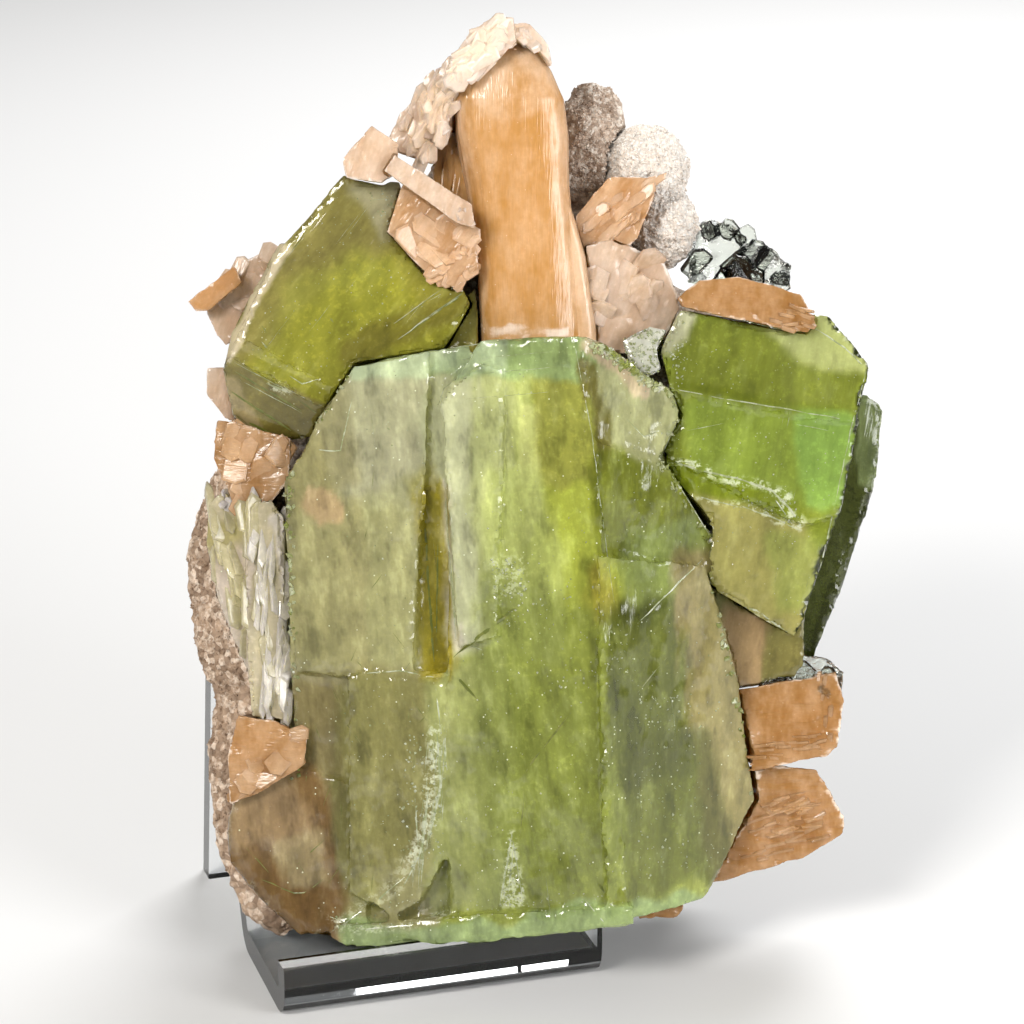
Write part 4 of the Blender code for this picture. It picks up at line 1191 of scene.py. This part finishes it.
main_crystal()
left_crystal()
right_crystal()
plain_green("apophyllite_back", 0.42, GREEN_DEEP, (0.035, 0.042, 0.006), coats=(
    ((0.22, 0.27, 0.11), [(862, 392), (882, 404), (872, 480), (860, 470)], 6, 0.8),))
plain_green("apophyllite_small", 0.25, GREEN_TILTED, (0.30, 0.27, 0.05))
plain_green("apophyllite_olive", 0.34, GREEN_DARK, (0.24, 0.21, 0.06), 1.0, coats=(
    ((0.46, 0.30, 0.15), [(728, 610), (760, 620), (750, 700), (728, 700)], 10, 0.8, 0.3),))
plain_green("apophyllite_bladed", 0.32, GREEN_PALE, (0.56, 0.49, 0.30), 0.6, 0.8, coats=(
    ((0.66, 0.60, 0.50), [(282, 520), (290, 600), (294, 700)], (4, 6), 0.9),
    ((0.44, 0.38, 0.12), [(200, 530), (236, 532), (238, 568), (204, 568)], 10, 0.7),
    ((0.60, 0.50, 0.42), [(192, 560), (240, 560), (240, 680), (205, 680)], 14, 0.7)), grown=(
    ((0.66, 0.61, 0.50), [(250, 520), (292, 520), (298, 720), (262, 740)], 34, (9.0, 1.0, 0.5), (0.05, 1, 0),
     (0.7, 0, 1), 0.05, 0.15),
    ((0.60, 0.55, 0.42), [(284, 500), (296, 500), (300, 745), (286, 745)], 30, (7.0, 1.5, 0.6), (0.03, 1, 0),
     (0.5, 0, 1), 0.04, 0.1),
    ((0.52, 0.46, 0.27), [(204, 500), (262, 480), (270, 700), (226, 660)], 30, (6.0, 1.6, 0.7), (-0.12, 1, 0),
     (0.5, 0.1, 1), 0.12, 0.2),
    ((0.74, 0.68, 0.58), [(222, 480), (250, 480), (248, 516), (226, 516)], 16, (1.8, 0.8, 0.4), (0.2, 1, 0),
     (0.4, 0.3, 1), 0.4, 0.2)))
sugar = plain_green("sparkly_druse", 0.20, GREEN_PALE, (0.62, 0.62, 0.50), 0.4, 0.8)
# Painted sparkles: small bits in the pale crack colour that stand for glints.
grains("sparkles_on_the_druse", sugar, [(618, 330), (680, 328), (684, 376), (624, 374)], 260, 0.34,
       WHITE_CRACKS_AND_GLINTS, 5)

sheaf()
silky("stilbite_back_blade", 0.28, PEACH, (2.0, 9.0, 2.0), 0.6, seed=2, grown=(
    ([(395, 110), (455, 85), (470, 320), (440, 320)], 26, (9.0, 1.6, 0.8), (0.1, 1, 0), (0.5, 0, 1), 0.05,
     0.3),))
silky("stilbite_wing", 0.24, PEACH_SLANT, (2.4, 2.4, 2.4), 0.4, 0.3, 3, grown=(
    ([(415, 268), (440, 290), (470, 292), (482, 262), (476, 236), (440, 262)], 20, (2.4, 1.2, 0.5),
     (0.6, 0.8, 0), (0.2, 0, 1), 0.35, 0.3),
    ([(392, 212), (470, 230), (470, 262), (420, 262)], 9, (5.0, 2.4, 0.8), (0.7, -0.6, 0), (0.1, 0, 1), 0.12,
     0.3)))
silky("stilbite_fan", 0.22, PEACH_SLANT, (2.0, 2.0, 2.0), 0.3, 0.3, 4, grown=(
    ([(585, 215), (652, 180), (650, 200), (600, 250)], 16, (6.0, 1.2, 0.7), (0.75, 0.65, 0), (0, 0.2, 1),
     0.08, 0.3),))
silky("stilbite_slab", 0.26, PEACH_FLAT, (4.0, 4.0, 4.0), 0.2, 0.2, 5, grown=(
    ([(770, 318), (812, 300), (814, 328), (790, 328)], 14, (2.4, 1.4, 0.5), (1, -0.2, 0), (0, 1, 0.3), 0.12,
     0.3),))
silky("stilbite_lower_upper", 0.33, PEACH_FLAT, (4.0, 1.2, 4.0), 0.3, 0.2, 6, grown=(
    ([(752, 742), (822, 732), (824, 748), (756, 760)], 30, (2.4, 1.4, 0.4), (1, 0.1, 0), (0.05, 1, 0.1), 0.05,
     0.45),
    ([(816, 676), (832, 674), (834, 740), (822, 748)], 10, (1.6, 1.2, 0.6), (0.1, 1, 0), (1, 0, 0.3), 0.08,
     0.45)))
silky("stilbite_lower_lower", 0.33, PEACH_FLAT, (4.0, 1.2, 4.0), 0.4, 0.25, 7, grown=(
    ([(755, 800), (800, 790), (828, 815), (822, 836), (790, 846), (750, 862)], 40, (3.0, 1.6, 0.5),
     (1, 0.35, 0), (-0.25, 1, 0.7), 0.10, 0.4),))
silky("stilbite_left_piece", 0.24, PEACH_FLAT, (3.0, 3.0, 3.0), 0.5, 0.4, 8, grown=(
    ([(216, 430), (290, 420), (288, 495), (240, 500)], 9, (4.5, 2.6, 1.0), (0.3, 0.9, 0), (0.1, 0, 1), 0.15,
     0.3),))
silky("stilbite_low_left_blade", 0.24, PEACH_FLAT, (3.0, 3.0, 3.0), 0.4, 0.35, 9, grown=(
    ([(232, 722), (300, 712), (302, 762), (240, 796)], 10, (4.5, 2.4, 0.8), (0.8, 0.5, 0), (0.1, 0.2, 1),
     0.12, 0.3),))
silky("stilbite_left_sliver", 0.20, PEACH_SLANT, (1.5, 1.5, 1.5), 0.3, seed=10)
silky("stilbite_bottom_chip", 0.22, PEACH_FLAT, (1.6, 1.6, 1.6), 0.7, seed=11)
silky("stilbite_cap", 0.22, PINK, (1.8, 1.8, 1.8), 0.6, 0.6, 12, grown=(
    ([(456, 85), (456, 60), (480, 28), (500, 20), (512, 30), (500, 46), (476, 70)], 30, (3.4, 2.0, 1.0),
     (0.75, 0.65, 0.1), (0.3, -0.3, 1), 0.2, 0.3),
    ([(505, 40), (530, 30), (545, 55), (535, 70), (520, 50)], 12, (2.2, 1.2, 0.8), (0.5, -0.8, 0),
     (0.4, 0.3, 1), 0.2, 0.3)))
silky("stilbite_flank_blades", 0.22, PINK, (1.5, 3.0, 1.5), 0.5, 0.4, 13, grown=(
    ([(398, 130), (412, 100), (445, 66), (458, 95), (452, 150), (420, 160)], 40, (4.2, 1.6, 0.7),
     (0.35, 0.9, 0.1), (0.6, -0.2, 0.8), 0.25, 0.3),))
silky("stilbite_block", 0.22, PINK, (2.4, 2.4, 2.4), 0.3, seed=14)
silky("stilbite_lath", 0.20, PINK, (3.0, 3.0, 3.0), 0.15, 0.3, 15, grown=(
    ([(450, 206), (474, 212), (474, 224), (460, 222)], 8, (1.6, 0.8, 0.5), (0.7, -0.6, 0), (0.2, 0.3, 1), 0.3,
     0.3),))
silky("stilbite_pale_block", 0.30, PINK, (3.0, 3.0, 3.0), 0.5, seed=16, grown=(
    ([(586, 250), (672, 250), (678, 310), (620, 345), (588, 330)], 14, (4.6, 2.8, 1.0), (0.3, 0.9, 0.1),
     (0.2, 0.1, 1), 0.3, 0.3),))
silky("stilbite_left_block", 0.26, PINK, (3.0, 3.0, 3.0), 0.4, seed=17, grown=(
    ([(215, 275), (275, 250), (280, 285), (225, 330)], 10, (4.0, 2.2, 0.9), (0.6, 0.7, 0), (0.1, 0.1, 1), 0.2,
     0.3),))
silky("stilbite_left_stub", 0.22, PINK, (2.4, 2.4, 2.4), 0.3, seed=18)

ball = rock("white_ball", "white_sugary_ball", 0.24, SUGAR, 0.9, 0.35, 3)
grains("grains_on_the_ball", ball, [(600, 125), (700, 125), (706, 275), (640, 275)], 2600, 0.30, SUGAR,
       3)
crust = rock("left_crust", "pinkish_crust_dressed", 0.38, CRUST, 1.5, 0.4, 5)
grains("grains_on_the_crust", crust, [(180, 440), (240, 440), (240, 800), (230, 935), (180, 800)], 2200, 0.30,
       CRUST, 5)
knob = rock("matrix", "rough_rock", 0.64, ROCK, 1.8, 0.5, 7)
grains("grains_on_the_knob", knob, [(560, 80), (616, 84), (622, 205), (562, 205)], 1800, 0.30, ROCK,
       7)

clear_crystal("clear_crystal_upper", [(685, 224), (746, 224), (746, 282), (685, 282)], 21)
clear_crystal("clear_crystal_lower", [(736, 244), (786, 250), (788, 290), (736, 290)], 22)
clear_crystal("colourless_crystal", [(770, 655), (846, 660), (846, 706), (770, 700)], 23)

# ---------------------------------------------------------------- the easel

f = Finish("clear_acrylic")
scratches = f.noise(f.stretched(f.node("ShaderNodeTexCoord", {}, out=3), 900.0, 300.0, 900.0), 1.0, 3.0)
ACRYLIC = f.done(f.skin((0.93, 0.95, 0.96), 0.01 + scratches.above(0.55, 0.8) * 0.05, None,
                        IOR=ACRYLIC_IOR, Transmission_Weight=1.0))
bpy.data.objects["acrylic_easel"].material_slots[0].material = ACRYLIC


# ---------------------------------------------------------------- floor, light and camera


def floor():
    """A wide pale floor."""
    mesh = bpy.data.meshes.new("floor")
    half = 3.0
    corners = [(-half, -half, 0), (half, -half, 0), (half, half, 0), (-half, half, 0)]
    mesh.from_pydata(corners, [], [(0, 1, 2, 3)])
    made = bpy.data.objects.new("floor", mesh)
    link(made)
    f = Finish("pale_floor")
    mesh.materials.append(f.done(f.skin((0.84, 0.84, 0.84), 0.7, None)))


def soft_light(name, position, aim, width, power, colour=(1.0, 1.0, 1.0)):
    """A square light of the given width in metres and power in watts, turned to its aim."""
    light = bpy.data.lights.new(name, "AREA")
    light.shape = "SQUARE"
    light.size = width
    light.energy = power
    light.color = colour
    made = bpy.data.objects.new(name, light)
    made.location = position
    made.rotation_euler = (Vector(aim) - Vector(position)).to_track_quat("-Z", "Y").to_euler()
    link(made)


floor()
middle = (-0.003, 0.0, 0.055)
soft_light("key", (-0.33, -0.50, 0.48), middle, 0.22, 3.9, (1.0, 0.97, 0.92))
soft_light("fill", (0.45, -0.40, 0.25), middle, 0.30, 2.5)
soft_light("back", (0.15, 0.45, 0.45), middle, 0.35, 3.0)

world = bpy.data.worlds.new("studio")
bpy.context.scene.world = world
world.use_nodes = True
background = world.node_tree.nodes["Background"].inputs
background["Color"].default_value = (0.94, 0.94, 0.93, 1.0)
background["Strength"].default_value = 0.20
bpy.context.scene.view_settings.view_transform = "Standard"
bpy.context.scene.cycles.max_bounces = 4
bpy.context.scene.cycles.transmission_bounces = 4
bpy.context.scene.cycles.diffuse_bounces = 1
bpy.context.scene.cycles.glossy_bounces = 1
bpy.context.scene.cycles.caustics_reflective = False

camera = bpy.data.cameras.new("camera")
camera.lens = 134.0
camera.clip_start = 0.01
eye = bpy.data.objects.new("camera", camera)
target = Vector((-2.95, -1.48, 52.05)) / MM
back = Vector((0.0, -math.cos(LEAN), math.sin(LEAN)))
eye.location = target + back * CAMERA_AWAY
eye.rotation_euler = (-back).to_track_quat("-Z", "Y").to_euler()
link(eye)
bpy.context.scene.camera = eye
